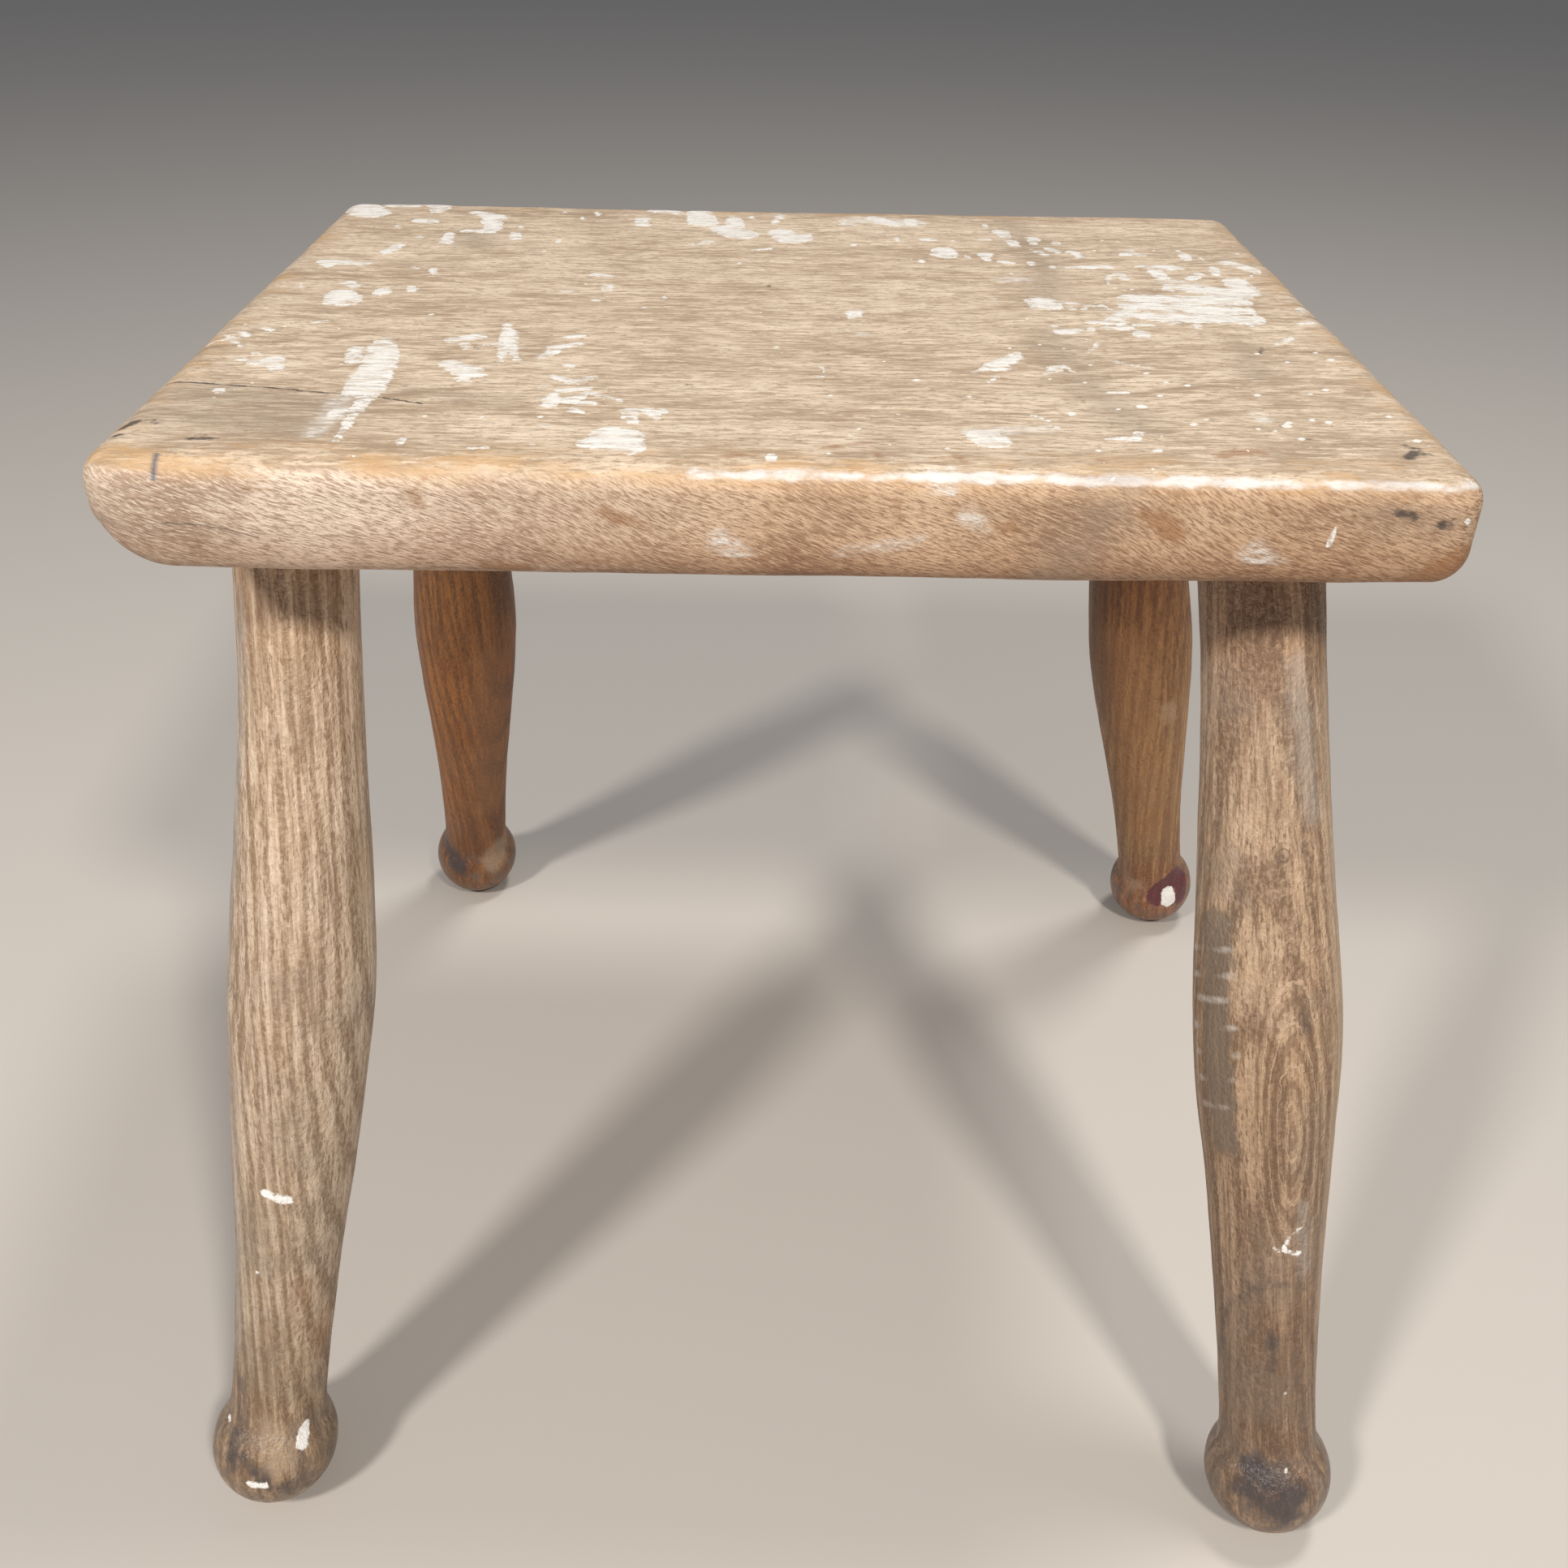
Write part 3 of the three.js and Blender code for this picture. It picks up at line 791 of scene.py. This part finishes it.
def radiusAt(share):  # a smooth run through the turner's marks
    marks = turning["profile"]
    shares = [mark[0] for mark in marks]
    radii = [mark[1] for mark in marks]
    index = int(np.clip(np.searchsorted(shares, share) - 1, 0, len(marks) - 2))
    before = max(index - 1, 0)
    after = min(index + 2, len(marks) - 1)
    width = shares[index + 1] - shares[index]
    t = (share - shares[index]) / width
    slope0 = (radii[index + 1] - radii[before]) / (shares[index + 1] - shares[before]) * width
    slope1 = (radii[after] - radii[index]) / (shares[after] - shares[index]) * width
    return (
        (2 * t**3 - 3 * t**2 + 1) * radii[index]
        + (t**3 - 2 * t**2 + t) * slope0
        + (3 * t**2 - 2 * t**3) * radii[index + 1]
        + (t**3 - t**2) * slope1
    )


def legPlace(name, share):  # the middle of the leg at a share of its length, bow and all
    top, ball = legAxes[name]
    bend = legs[name]["bow"] * mm * math.sin(math.pi * min(max(share, 0), 1) ** turning["bowHigh"])
    return top.lerp(ball, share) + Vector((bend, 0, 0))


def turnedRings(name):  # every ring of the leg as its middle and its radius, from the top down
    top, ball = legAxes[name]
    length = (ball - top).length / mm
    down = (ball - top).normalized()
    halfLength = turning["ballHalfLength"]
    meeting = math.asin(radiusAt(1.0) / turning["ballRadius"])
    ballTop = 1 - halfLength * math.cos(meeting) / length
    rings = []
    for step in range(turning["steps"] + 1):
        share = -turning["above"] / length + (ballTop + turning["above"] / length) * step / turning["steps"]
        rings.append((legPlace(name, share), radiusAt(share)))
    for step in range(1, turning["ballSteps"]):
        angle = meeting + (math.pi - meeting) * step / turning["ballSteps"]
        centre = ball + down * (-halfLength * math.cos(angle)) * mm
        rings.append((centre, turning["ballRadius"] * math.sin(angle)))
    return rings, down


def turnLeg(name):  # a ring drawn down the leg's axis, one step at a time
    rings, down = turnedRings(name)
    middle, radius = rings[0]
    bpy.ops.object.select_all(action="DESELECT")
    bpy.ops.mesh.primitive_circle_add(
        vertices=turning["sides"],
        radius=radius * mm,
        location=middle,
        rotation=(-down).to_track_quat("Z", "Y").to_euler(),
    )
    leg = bpy.context.active_object
    leg.name = name + "_turned"
    bpy.ops.object.transform_apply(location=True, rotation=True, scale=True)
    bpy.ops.object.mode_set(mode="EDIT")
    bpy.ops.mesh.select_all(action="SELECT")
    bpy.ops.mesh.edge_face_add()
    for place, width in rings[1:]:
        bpy.ops.mesh.extrude_region_move(TRANSFORM_OT_translate={"value": place - middle})
        bpy.ops.transform.resize(value=(width / radius,) * 3, center_override=place)
        middle, radius = place, width
    bpy.ops.mesh.select_all(action="SELECT")
    bpy.ops.mesh.normals_make_consistent(inside=False)
    objectMode()
    smooth = leg.modifiers.new("smooth", "SUBSURF")
    smooth.levels = turning["fineness"]
    smooth.render_levels = turning["fineness"]
    waver(leg, name + "Lumps", turning["lumpSize"] * mm, legs[name]["lumps"] * mm)
    waver(leg, name + "Ripples", turning["rippleSize"] * mm, turning["ripples"] * mm)
    applyAll(leg)
    return leg, down


def cutLevel(height, upward):  # saws the leg in hand off at a height and closes the cut
    editMode()
    bpy.ops.mesh.select_all(action="SELECT")
    bpy.ops.mesh.bisect(
        plane_co=(0, 0, height),
        plane_no=(0, 0, 1),
        use_fill=True,
        clear_outer=upward,
        clear_inner=not upward,
    )


def addTenon(down):  # the round end that the seat's socket takes
    top = underside - turning["gap"] * mm
    cutLevel(top, True)
    bpy.ops.mesh.inset(thickness=(radiusAt(0) - turning["tenonRadius"]) * mm)
    bpy.ops.mesh.extrude_region_move(
        TRANSFORM_OT_translate={"value": -down * turning["tenonLength"] * mm}
    )
    objectMode()
    cutLevel(0, False)
    bpy.ops.mesh.select_all(action="SELECT")
    bpy.ops.mesh.normals_make_consistent(inside=False)
    objectMode()


board = makeSeat(seat)
print("seat shaped:", len(board.data.polygons), "faces")

# marks on the legs: mm down the axis from the underside and mm to the right of it, at each end,
# as they line up when looked at from the camera, then two radii

legMarks = {
    "leg_front_left": {
        "paint": [
            (200, -7, 202.5, -1, 1.5, 1.4), (203, -3, 203, -1, 0.8, 0.8), (226, -8, 226, -8, 0.6, 0.6),
            (279, 7.5, 286, 7.3, 1.5, 1.9), (299, -7, 300, -3, 1.2, 1.2), (274, -14, 275, -14, 0.8, 0.8),
        ],
        "dark": [
            (136, -18, 142, -17, 1.2, 0.8), (262, -11, 292, -12, 1.5, 2.5), (268, -5, 276, -4, 1.2, 0.8),
            (290, -8, 300, -3, 2, 2.5), (262, 10, 270, 14, 1.5, 2), (301, 2, 300, 12, 2, 1.5),
        ],
        "ashen": [(30, -14, 100, -18, 2, 3.5), (100, -18, 165, -19, 3.5, 2.5), (165, -17, 250, -13, 2, 2)],
        "warm": [(242, 10.5, 250, 10.5, 2.4, 2), (232, 5, 236, 5, 1.2, 1)],
        "pale": [(276, -2, 292, 1, 4, 5)],
    },
    "leg_front_right": {
        "paint": [
            (202, 9, 204, 6.5, 0.6, 0.5), (205, 6, 209, 4.5, 0.5, 0.7), (209.5, 2, 210.5, 8, 0.7, 0.9),
            (123, -2.5, 123, -2.5, 0.6, 0.6), (284, 5.5, 284.5, 5.5, 0.5, 0.5), (257, 5, 258, 5, 0.5, 0.5),
        ],
        "dark": [
            (193, 1.2, 193, 1.4, 1, 1), (89, 9, 91, 10, 0.7, 0.9), (92, 4.6, 92, 4.6, 0.7, 0.7),
            (284, -4, 293, 8, 4.5, 5), (292, -6, 300, 6, 4, 5), (246, -13, 231, -10.6, 0.7, 0.6),
            (231, -10.6, 223, -4.5, 0.6, 0.6), (223, -4.5, 220, 5, 0.6, 0.4), (238, 1, 250, 2, 1.2, 0.6),
            (138, 9, 142, 10, 0.7, 0.9),
        ],
        # pale: the last two strokes are painted light down the right side of this leg, where a lamp from the
        # right falls
        "pale": [(84, 2, 84, 4, 0.8, 0.8), (45, 15, 150, 19, 4, 5), (150, 19, 230, 14, 5, 3)],
        "ashen": [(40, 8, 80, 12, 3, 3), (195, 9, 215, 10, 2, 2)],
        "rasped": [(112, -13, 176, -11, 5.0, 4.5)],
        "scratch": [
            (118, -19, 119, -9, 0.6, 0.5), (126, -19, 126.5, -8, 0.6, 0.5), (133, -18, 134, -10, 0.6, 0.5),
            (141, -19, 142, -8, 0.7, 0.5), (149, -18, 150, -7, 0.6, 0.5), (157, -17, 157.5, -8, 0.6, 0.5),
            (165, -16, 166, -10, 0.6, 0.5),
        ],
    },
    "leg_back_left": {
        "paint": [(88, -7, 89, -7, 0.7, 0.7)],
        "dark": [(272, -12, 296, -8, 4, 5)],
        "warm": [(160, 8, 250, 6, 7, 8)],
        "pale": [(266, 6, 290, 8, 7, 7)],
    },
    "leg_back_right": {
        "paint": [(297, 7.5, 303, 7.7, 3, 3.6)],
        "warm": [(140, -6, 250, -3, 9, 10)],
        "pale": [(172, 9, 180, 10, 3, 2.5), (278, -6, 288, -7, 4.5, 4)],
        "plum": [(276, 3, 280, 1, 1, 1.6), (283, 8, 300, 3, 6, 5), (286, 14, 300, 13, 4, 4)],
    },
}


stainsAndPaintedLight = {  # stains, and painted light on the front right leg's right side: colour, greatest share, border, and the mm inside a mark from which to which it sets in
    "warm": ((0.40, 0.19, 0.08), 0.4, "loose", -6.0, 6.0),
    # pale: lighter wood, and on the front right leg a painted light down its side
    "pale": ((0.56, 0.42, 0.29), 0.4, "loose", -2.5, 3.5),
    "ashen": ((0.40, 0.36, 0.32), 0.55, "loose", -2.5, 3.5),
    "dark": ((0.045, 0.04, 0.045), 0.8, "loose", -2.0, 3.0),
    "scratch": ((0.50, 0.45, 0.40), 0.8, "clean", -0.9, 0.4),
    "plum": ((0.10, 0.018, 0.035), 0.85, "fine", -0.6, 0.6),
}


def legFrame(name):  # across and outwards at the leg's front, square to its axis
    top, ball = legAxes[name]
    down = (ball - top).normalized()
    toFront = Vector((0, -1, 0.35))
    outwards = (toFront - down * toFront.dot(down)).normalized()
    return down, outwards.cross(down).normalized(), outwards


def sightOf(name, down):  # the leg's middle there, the way to the eye, and across it as seen
    top, ball = legAxes[name]
    axis = (ball - top).normalized()
    share = down * mm / (ball - top).length
    middle = legPlace(name, share) if share < 1 else top + axis * down * mm
    eye = Vector((seatMiddle.x, seatMiddle.y, 0)) + Vector(camera["place"]) * mm
    sight = (eye - middle).normalized()
    return middle, sight, sight.cross(axis).normalized(), share


def onLeg(name, down, across):  # the place on the skin that is seen in front of one on the axis
    top, ball = legAxes[name]
    middle, sight, aside, share = sightOf(name, down)
    towards = sight if share > 1 else (ball - top).normalized().cross(aside)
    radius = radiusAt(min(share, 1.0)) * mm
    reach = min(abs(across) * mm, radius * 0.98)
    start = middle + aside * math.copysign(reach, across)
    distance = math.sqrt(radius**2 - reach**2) / sight.dot(towards)
    along = (ball - start).dot(sight)
    hidden = (turning["ballRadius"] * mm) ** 2 - (ball - start).length_squared + along**2
    if hidden > 0:
        distance = max(distance if share < 0.93 else 0, along + math.sqrt(hidden))
    return start + sight * distance


def legStrokes(name, kind):
    return [
        (onLeg(name, down0, across0), onLeg(name, down1, across1), radius0 * mm, radius1 * mm)
        for down0, across0, down1, across1, radius0, radius1 in legMarks[name].get(kind, [])
    ]


figures = {  # where the grain arches round on each leg, and its knot: mm down and across
    "leg_front_left": {"middle": (118, -21), "size": (70, 9), "knot": (136, -19)},
    "leg_front_right": {"middle": (164, 6.5), "size": (50, 9.5), "knot": (92, 4.6)},
    "leg_back_left": {"middle": (150, 30), "size": (60, 8), "knot": (150, 40)},
    "leg_back_right": {"middle": (150, -30), "size": (60, 8), "knot": (150, -40)},
}


def figureOf(points, name):  # 1 on the outermost arch and 0 in the middle of the figure
    top, ball = legAxes[name]
    axis = np.array((ball - top).normalized())
    down, across = figures[name]["middle"]
    tall, wide = figures[name]["size"]
    middle, sight, aside = sightOf(name, down)[:3]
    away = (points - np.array(middle)) / mm
    value = np.hypot((away @ axis) / tall, (away @ np.array(aside) - across) / wide)
    return np.where(away @ np.array(sight) > -4, np.clip(value, 0, 3), 3)


def ringsRound(points, centre):
    return np.clip(np.linalg.norm(points - np.array(centre), axis=1) / mm, 0, 20)


def markLeg(leg, name):
    points = pointsOf(leg)
    for kind in ("rasped", "paint", *stainsAndPaintedLight):
        field = insideAny(points, legStrokes(name, kind)) / mm
        addLayer(leg, kind, np.clip(field, -6, 6))
    top, ball = legAxes[name]
    axis = np.array((ball - top).normalized())
    fromBall = (points - np.array(ball)) @ axis / mm
    addLayer(leg, "ball", smoothStep(-22, -8, fromBall))
    addLayer(leg, "down", 1 + fromBall * mm / (ball - top).length)
    addLayer(leg, "figure", figureOf(points, name))
    addLayer(leg, "knot", ringsRound(points, onLeg(name, *figures[name]["knot"])))


def makeLeg(name):
    leg, down = turnLeg(name)
    addTenon(down)
    bpy.ops.object.shade_smooth_by_angle(angle=softAngle)
    markLeg(leg, name)
    return leg


turnedLegs = {name: makeLeg(name) for name in legs}
print("legs turned:", sum(len(leg.data.polygons) for leg in turnedLegs.values()), "faces")

# materials

tones = {  # linear colours of bare and worn wood, and of the painted sheen, a highlight
    "top": (0.60, 0.48, 0.35),
    "topPale": (0.76, 0.635, 0.49),
    "topBrown": (0.36, 0.26, 0.17),
    "face": (0.66, 0.53, 0.41),
    "faceFleck": (0.33, 0.21, 0.14),
    "facePale": (0.83, 0.71, 0.59),
    "honey": (0.58, 0.36, 0.17),
    # the colour of the painted highlight on the front edge's crest
    "paintedSheen": (0.79, 0.78, 0.78),
    "greyStain": (0.29, 0.225, 0.17),
    "brown": (0.30, 0.135, 0.05),
    "dark": (0.05, 0.038, 0.035),
    "blue": (0.05, 0.085, 0.14),
    "paint": (0.88, 0.875, 0.85),
    "paintEdge": (0.80, 0.77, 0.71),
    "legGrey": (0.27, 0.225, 0.185),
    "rasped": (0.19, 0.155, 0.125),
    "grime": (0.13, 0.10, 0.085),
}
faceShades = [(0.2, (1, 1, 1)), (0.5, (0.84, 0.72, 0.6)), (0.85, (0.75, 0.62, 0.5))]  # left to right
faceLow = (0.82, 0.72, 0.66)  # how the foot of the board's edges is darkened


def paintMask(tree, field, ragged, edge=0.22):  # a painted field with a ragged border
    return spread(tree, plus(tree, field, centred(tree, ragged, 3.4)), -edge, edge)


def finishSeat(board):
    material, tree = newMaterial("wornSeatWood")
    here = objectPlace(tree)
    upward = layer(tree, "upward")

    # the top: fine fibres along the board, some broad bands, slanting ones right of the middle
    fibres = grain(tree, (85, 620, 620), 5.0, 0.8, 0.3)
    hairs = grain(tree, (330, 1200, 1200), 3.0, 0.7)
    bands = grain(tree, (9, 70, 60), 4.0, 0.6, 0.4)
    slanting = grain(tree, (9, 190, 60), 3.0, 0.6, vector=objectPlace(tree, turn=(0, 0, -0.35)))
    clouds = noise(tree, here, 24.0)
    dirt = grain(tree, (70, 120, 120), 5.0, 0.65)
    slantHere = spread(tree, noise(tree, here, 9.0, 1.0), 0.45, 0.6)
    streaks = between(tree, slantHere, bands, slanting)
    topTone = ramp(
        tree, streaks, [(0.32, tones["topBrown"]), (0.47, tones["top"]), (0.66, tones["topPale"])]
    )
    for colour, value, low, high, share in (
        ("topBrown", clouds, 0.44, 0.68, 0.5),
        ("topBrown", dirt, 0.5, 0.66, 0.55),
        ("topPale", dirt, 0.47, 0.34, 0.6),
        ("topPale", fibres, 0.5, 0.6, 0.8),
        ("topBrown", fibres, 0.49, 0.39, 0.8),
        ("topBrown", hairs, 0.53, 0.63, 0.9),
    ):
        topTone = tint(tree, topTone, tones[colour], value, low, high, share)

    # the edges: short slanting flecks, swirled a little
    swirled = stirred(tree, here, 11.0, (0.012, 0.012, 0.02))
    turned = objectPlace(tree, turn=(0, math.radians(-24), 0), vector=swirled)
    flecks = grain(tree, (400, 520, 2400), 3.0, 0.65, 0.3, turned)
    patches = noise(tree, here, 30.0, 3.0, 0.6)
    faceTone = ramp(
        tree, patches, [(0.3, tones["facePale"]), (0.5, tones["face"]), (0.75, tones["faceFleck"])]
    )
    faceTone = tint(tree, faceTone, tones["faceFleck"], flecks, 0.48, 0.62, 0.75)
    faceTone = tint(tree, faceTone, tones["facePale"], flecks, 0.49, 0.38, 0.75)
    shade = ramp(tree, layer(tree, "endToEnd"), faceShades)
    faceTone = mix(tree, 1.0, faceTone, shade, "MULTIPLY")
    faceTone = mix(tree, layer(tree, "lowDown"), faceTone, faceLow, "MULTIPLY")

    tone = mix(tree, upward, faceTone, topTone)
    honeyPatch = spread(tree, grain(tree, (40, 130, 130), 4.0, 0.65), 0.44, 0.64, 0.05, 0.7)
    tone = mix(tree, times(tree, layer(tree, "rubbed"), honeyPatch), tone, tones["honey"])

    # painted sheen, a highlight on the rubbed front edge, then stains, stripes and knocks
    loose = grain(tree, (150, 260, 260), 4.0, 0.65)
    fine = grain(tree, (420, 620, 620), 4.0, 0.7)
    looseEdge = centred(tree, loose, 14.0)
    fineEdge = centred(tree, fine, 3.0)
    # painted sheen: a whitish highlight along the rubbed crest of the front edge
    paintedSheen = maths(tree, "MULTIPLY_ADD", looseEdge, 0.9, layer(tree, "paintedSheen"))
    paintedSheen = spread(tree, paintedSheen, -1.8, 2.8, 0.0, 0.8)
    tone = mix(tree, paintedSheen, tone, tones["paintedSheen"])
    grey = plus(tree, layer(tree, "grey"), looseEdge)
    brown = maths(tree, "MULTIPLY_ADD", looseEdge, 0.35, plus(tree, layer(tree, "brown"), fineEdge))
    for colour, field, low, high, share in (
        ("greyStain", grey, -7.0, 8.0, 0.48),
        ("brown", brown, -0.5, 1.5, 0.62),
        ("dark", plus(tree, layer(tree, "dark"), fineEdge), -0.4, 0.8, 0.85),
        ("blue", layer(tree, "blue"), -0.4, 0.8, 0.85),
    ):
        tone = tint(tree, tone, tones[colour], field, low, high, share)
    for name, width, share in (("split", 0.5, 0.95), ("hairline", 0.35, 0.5)):
        bent = plus(tree, layer(tree, name), times(tree, fineEdge, 0.35))
        tone = tint(tree, tone, tones["dark"], maths(tree, "ABSOLUTE", bent), width, width * 0.3, share)

    # white paint, rubbed thin along the fibres
    worn = grain(tree, (190, 620, 620), 5.0, 0.75, 0.4)
    field = layer(tree, "paint")
    ragged = plus(tree, times(tree, loose, 0.5), times(tree, fine, 0.5))
    ragged = plus(tree, centred(tree, ragged, 1.9), 0.5)
    solid = paintMask(tree, field, ragged)
    rubbedOff = times(tree, spread(tree, worn, 0.5, 0.57, 0.0, 0.9), spread(tree, field, 0.3, 3.5, 1.0, 0.5))
    paint = times(tree, solid, maths(tree, "SUBTRACT", 1.0, rubbedOff))
    drops = spread(tree, layer(tree, "drops"), -0.15, 0.15)
    faintField = paintMask(tree, layer(tree, "faintPaint"), loose, 1.4)
    faint = times(tree, faintField, spread(tree, worn, 0.42, 0.62, 0.1, 0.75))
    specks = spread(tree, noise(tree, here, 330.0, 1.0), 0.765, 0.785, 0.0, 0.85)
    for other in (drops, faint, times(tree, specks, upward)):
        paint = maths(tree, "MAXIMUM", paint, other)
    tone = mix(tree, paint, tone, mix(tree, worn, tones["paint"], tones["paintEdge"]))

    gloss = times(tree, maths(tree, "MAXIMUM", layer(tree, "rubbed"), paintedSheen), -0.3)
    rough = plus(tree, spread(tree, clouds, 0.3, 0.7, 0.56, 0.68), gloss)
    relief = between(tree, upward, flecks, fibres)
    reliefs = [(relief, 0.9, 0.0008), (hairs, 0.4, 0.0002), (paint, 0.5, 0.00018)]
    dress(board, material, tone, between(tree, paint, rough, 0.5), reliefs)


legWood = {  # each leg's own wood and the shade painted down it: tones dark to pale, pith place and tilt in mm and degrees
    "leg_front_left": {
        "dark": (0.26, 0.165, 0.095), "mid": (0.55, 0.41, 0.285), "pale": (0.78, 0.64, 0.50),
        "pith": (-60, 6), "tilt": (0, 5), "spacing": 4.0, "grey": 0.3, "slide": 3.0,
        "paintedShade": [  # painted shade down the leg, the seat's shadow over its top and less light towards the foot: share of the way, tint
            (0.0, (0.95, 0.84, 0.74)), (0.18, (1, 1, 1)), (0.5, (0.9, 0.9, 0.9)), (0.8, (0.76, 0.76, 0.76)),
            (1.0, (0.58, 0.52, 0.44)),
        ],
    },
    "leg_front_right": {
        "dark": (0.18, 0.11, 0.066), "mid": (0.42, 0.29, 0.19), "pale": (0.64, 0.49, 0.355),
        "pith": (4, -12), "tilt": (-3, 1.5), "spacing": 4.8, "grey": 0.4, "slide": 11.0,
        "paintedShade": [
            (0.0, (0.87, 0.7, 0.55)), (0.18, (1, 1, 1)), (0.5, (0.88, 0.83, 0.76)), (0.8, (0.66, 0.61, 0.57)),
            (1.0, (0.62, 0.57, 0.53)),
        ],
    },
    "leg_back_left": {
        "dark": (0.15, 0.055, 0.015), "mid": (0.30, 0.108, 0.024), "pale": (0.45, 0.185, 0.045),
        "pith": (22, 16), "tilt": (2, 4), "spacing": 4.4, "grey": 0.06, "slide": 19.0,
        "paintedShade": [(0.25, (0.62, 0.68, 0.8)), (0.55, (1, 1, 1)), (0.85, (1, 1, 1)), (1.0, (0.75, 0.8, 1))],
    },
    "leg_back_right": {
        "dark": (0.21, 0.09, 0.026), "mid": (0.39, 0.205, 0.078), "pale": (0.57, 0.335, 0.15),
        "pith": (-18, 22), "tilt": (-2, -4), "spacing": 4.4, "grey": 0.1, "slide": 27.0,
        "paintedShade": [(0.3, (0.42, 0.28, 0.16)), (0.62, (1, 1, 1)), (0.85, (1, 1, 1)), (1.0, (0.8, 0.65, 0.8))],
    },
}


def finishLeg(leg, name):
    wood = legWood[name]
    material, tree = newMaterial(name + "Wood")
    down, right, outwards = legFrame(name)
    turn = Matrix((right, -outwards, -down)).transposed().to_euler()
    along = objectPlace(tree, place=legAxes[name][0], turn=turn, kind="TEXTURE")

    # the wood: growth rings, fibres, ripples and pores along a pith that lies aside and a little askew
    pithX, pithY = wood["pith"]
    tiltX, tiltY = [math.radians(angle) for angle in wood["tilt"]]
    shifted = objectPlace(tree, place=(-pithX * mm, -pithY * mm, wood["slide"]), vector=along)
    tilted = objectPlace(tree, turn=(tiltX, tiltY, 0), vector=shifted)
    squeezed = objectPlace(tree, scale=(1, 1, 0.16), vector=tilted)
    years = rings(tree, stirred(tree, squeezed, 60.0, (0.009, 0.009, 0.0)), wood["spacing"] * mm)
    lines = spread(tree, years, 0.5, 1.0)
    fibres = grain(tree, (700, 700, 30), 5.0, 0.75, vector=tilted)
    ripples = grain(tree, (800, 800, 620), 2.0, 0.6, 0.4, tilted)
    pores = grain(tree, (1400, 1400, 260), 2.0, 0.5, vector=tilted)
    pores = spread(tree, maths(tree, "MULTIPLY_ADD", years, 0.12, pores), 0.6, 0.72)
    broad = grain(tree, (60, 60, 14), 3.0, 0.55, vector=along)
    tone = ramp(tree, broad, [(0.2, wood["dark"]), (0.46, wood["mid"]), (0.76, wood["pale"])])
    tone = tint(tree, tone, wood["pale"], fibres, 0.5, 0.62, 0.65)
    tone = tint(tree, tone, wood["dark"], fibres, 0.5, 0.38, 0.7)
    rippled = maths(tree, "MULTIPLY_ADD", lines, 0.35, 0.2)
    for colour, share in (
        ("dark", times(tree, lines, 0.5)),
        ("dark", times(tree, pores, 0.75)),
        ("dark", times(tree, spread(tree, ripples, 0.5, 0.6), rippled)),
        ("pale", times(tree, spread(tree, ripples, 0.44, 0.34, 0.0, 0.4), rippled)),
    ):
        tone = mix(tree, share, tone, wood[colour])
    tone = tint(tree, tone, tones["legGrey"], noise(tree, along, 34.0), 0.48, 0.66, wood["grey"])

    # arches of grain round the figure, fading outwards, and the rings of its knot
    loose = noise(tree, along, 190.0, 4.0, 0.65)
    looseEdge = centred(tree, loose, 7.0)
    figure = maths(tree, "MULTIPLY_ADD", loose, 0.22, layer(tree, "figure"))
    arches = maths(tree, "SINE", times(tree, figure, 27.0))
    near = spread(tree, figure, 1.5, 0.9, 0.0, 0.55)
    tone = mix(tree, times(tree, spread(tree, arches, -0.3, -0.9), near), tone, wood["dark"])
    ridge = times(tree, spread(tree, arches, 0.86, 0.99), near)
    tone = mix(tree, ridge, tone, wood["pale"])
    knot = layer(tree, "knot")
    knotRings = spread(tree, maths(tree, "SINE", times(tree, knot, 4.2)), 0.2, 0.9)
    knotRings = times(tree, knotRings, spread(tree, knot, 4.2, 2.2, 0.0, 0.7))
    tone = mix(tree, knotRings, tone, wood["dark"])
    tone = tint(tree, tone, tones["dark"], knot, 0.9, 0.4, 0.9)
    rasped = plus(tree, layer(tree, "rasped"), looseEdge)
    tone = tint(tree, tone, tones["rasped"], rasped, -1.4, 1.4, 0.75)
    # painted shade: the seat's shadow over the top of the leg and less light lower down, multiplied into the
    # colour
    tone = mix(tree, 1.0, tone, ramp(tree, layer(tree, "down"), wood["paintedShade"]), "MULTIPLY")

    # grime on the ball, stains and some painted light, and paint
    fineEdge = centred(tree, noise(tree, along, 620.0, 4.0, 0.7), 2.6)
    grime = times(tree, layer(tree, "ball"), spread(tree, loose, 0.4, 0.66, 0.05, 0.7))
    tone = mix(tree, grime, tone, tones["grime"])
    borders = {"loose": looseEdge, "fine": fineEdge, "clean": 0.0}
    for kind, (colour, share, border, low, high) in stainsAndPaintedLight.items():
        field = plus(tree, layer(tree, kind), borders[border])
        tone = tint(tree, tone, colour, field, low, high, share)
    paint = spread(tree, plus(tree, layer(tree, "paint"), fineEdge), -0.3, 0.3)
    tone = mix(tree, paint, tone, tones["paint"])
    rough = between(tree, layer(tree, "ball"), spread(tree, broad, 0.3, 0.7, 0.44, 0.58), 0.3)
    reliefs = [(ripples, 0.9, 0.0008), (fibres, 0.6, 0.0004), (ridge, 0.6, 0.0004), (paint, 0.5, 0.00015)]
    dress(leg, material, tone, rough, reliefs)


finishSeat(board)
for name, leg in turnedLegs.items():
    finishLeg(leg, name)
print("materials made")

# where every piece belongs

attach(board, "root")
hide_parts("seat")
for name, leg in turnedLegs.items():
    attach(leg, "root")
    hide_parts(name)
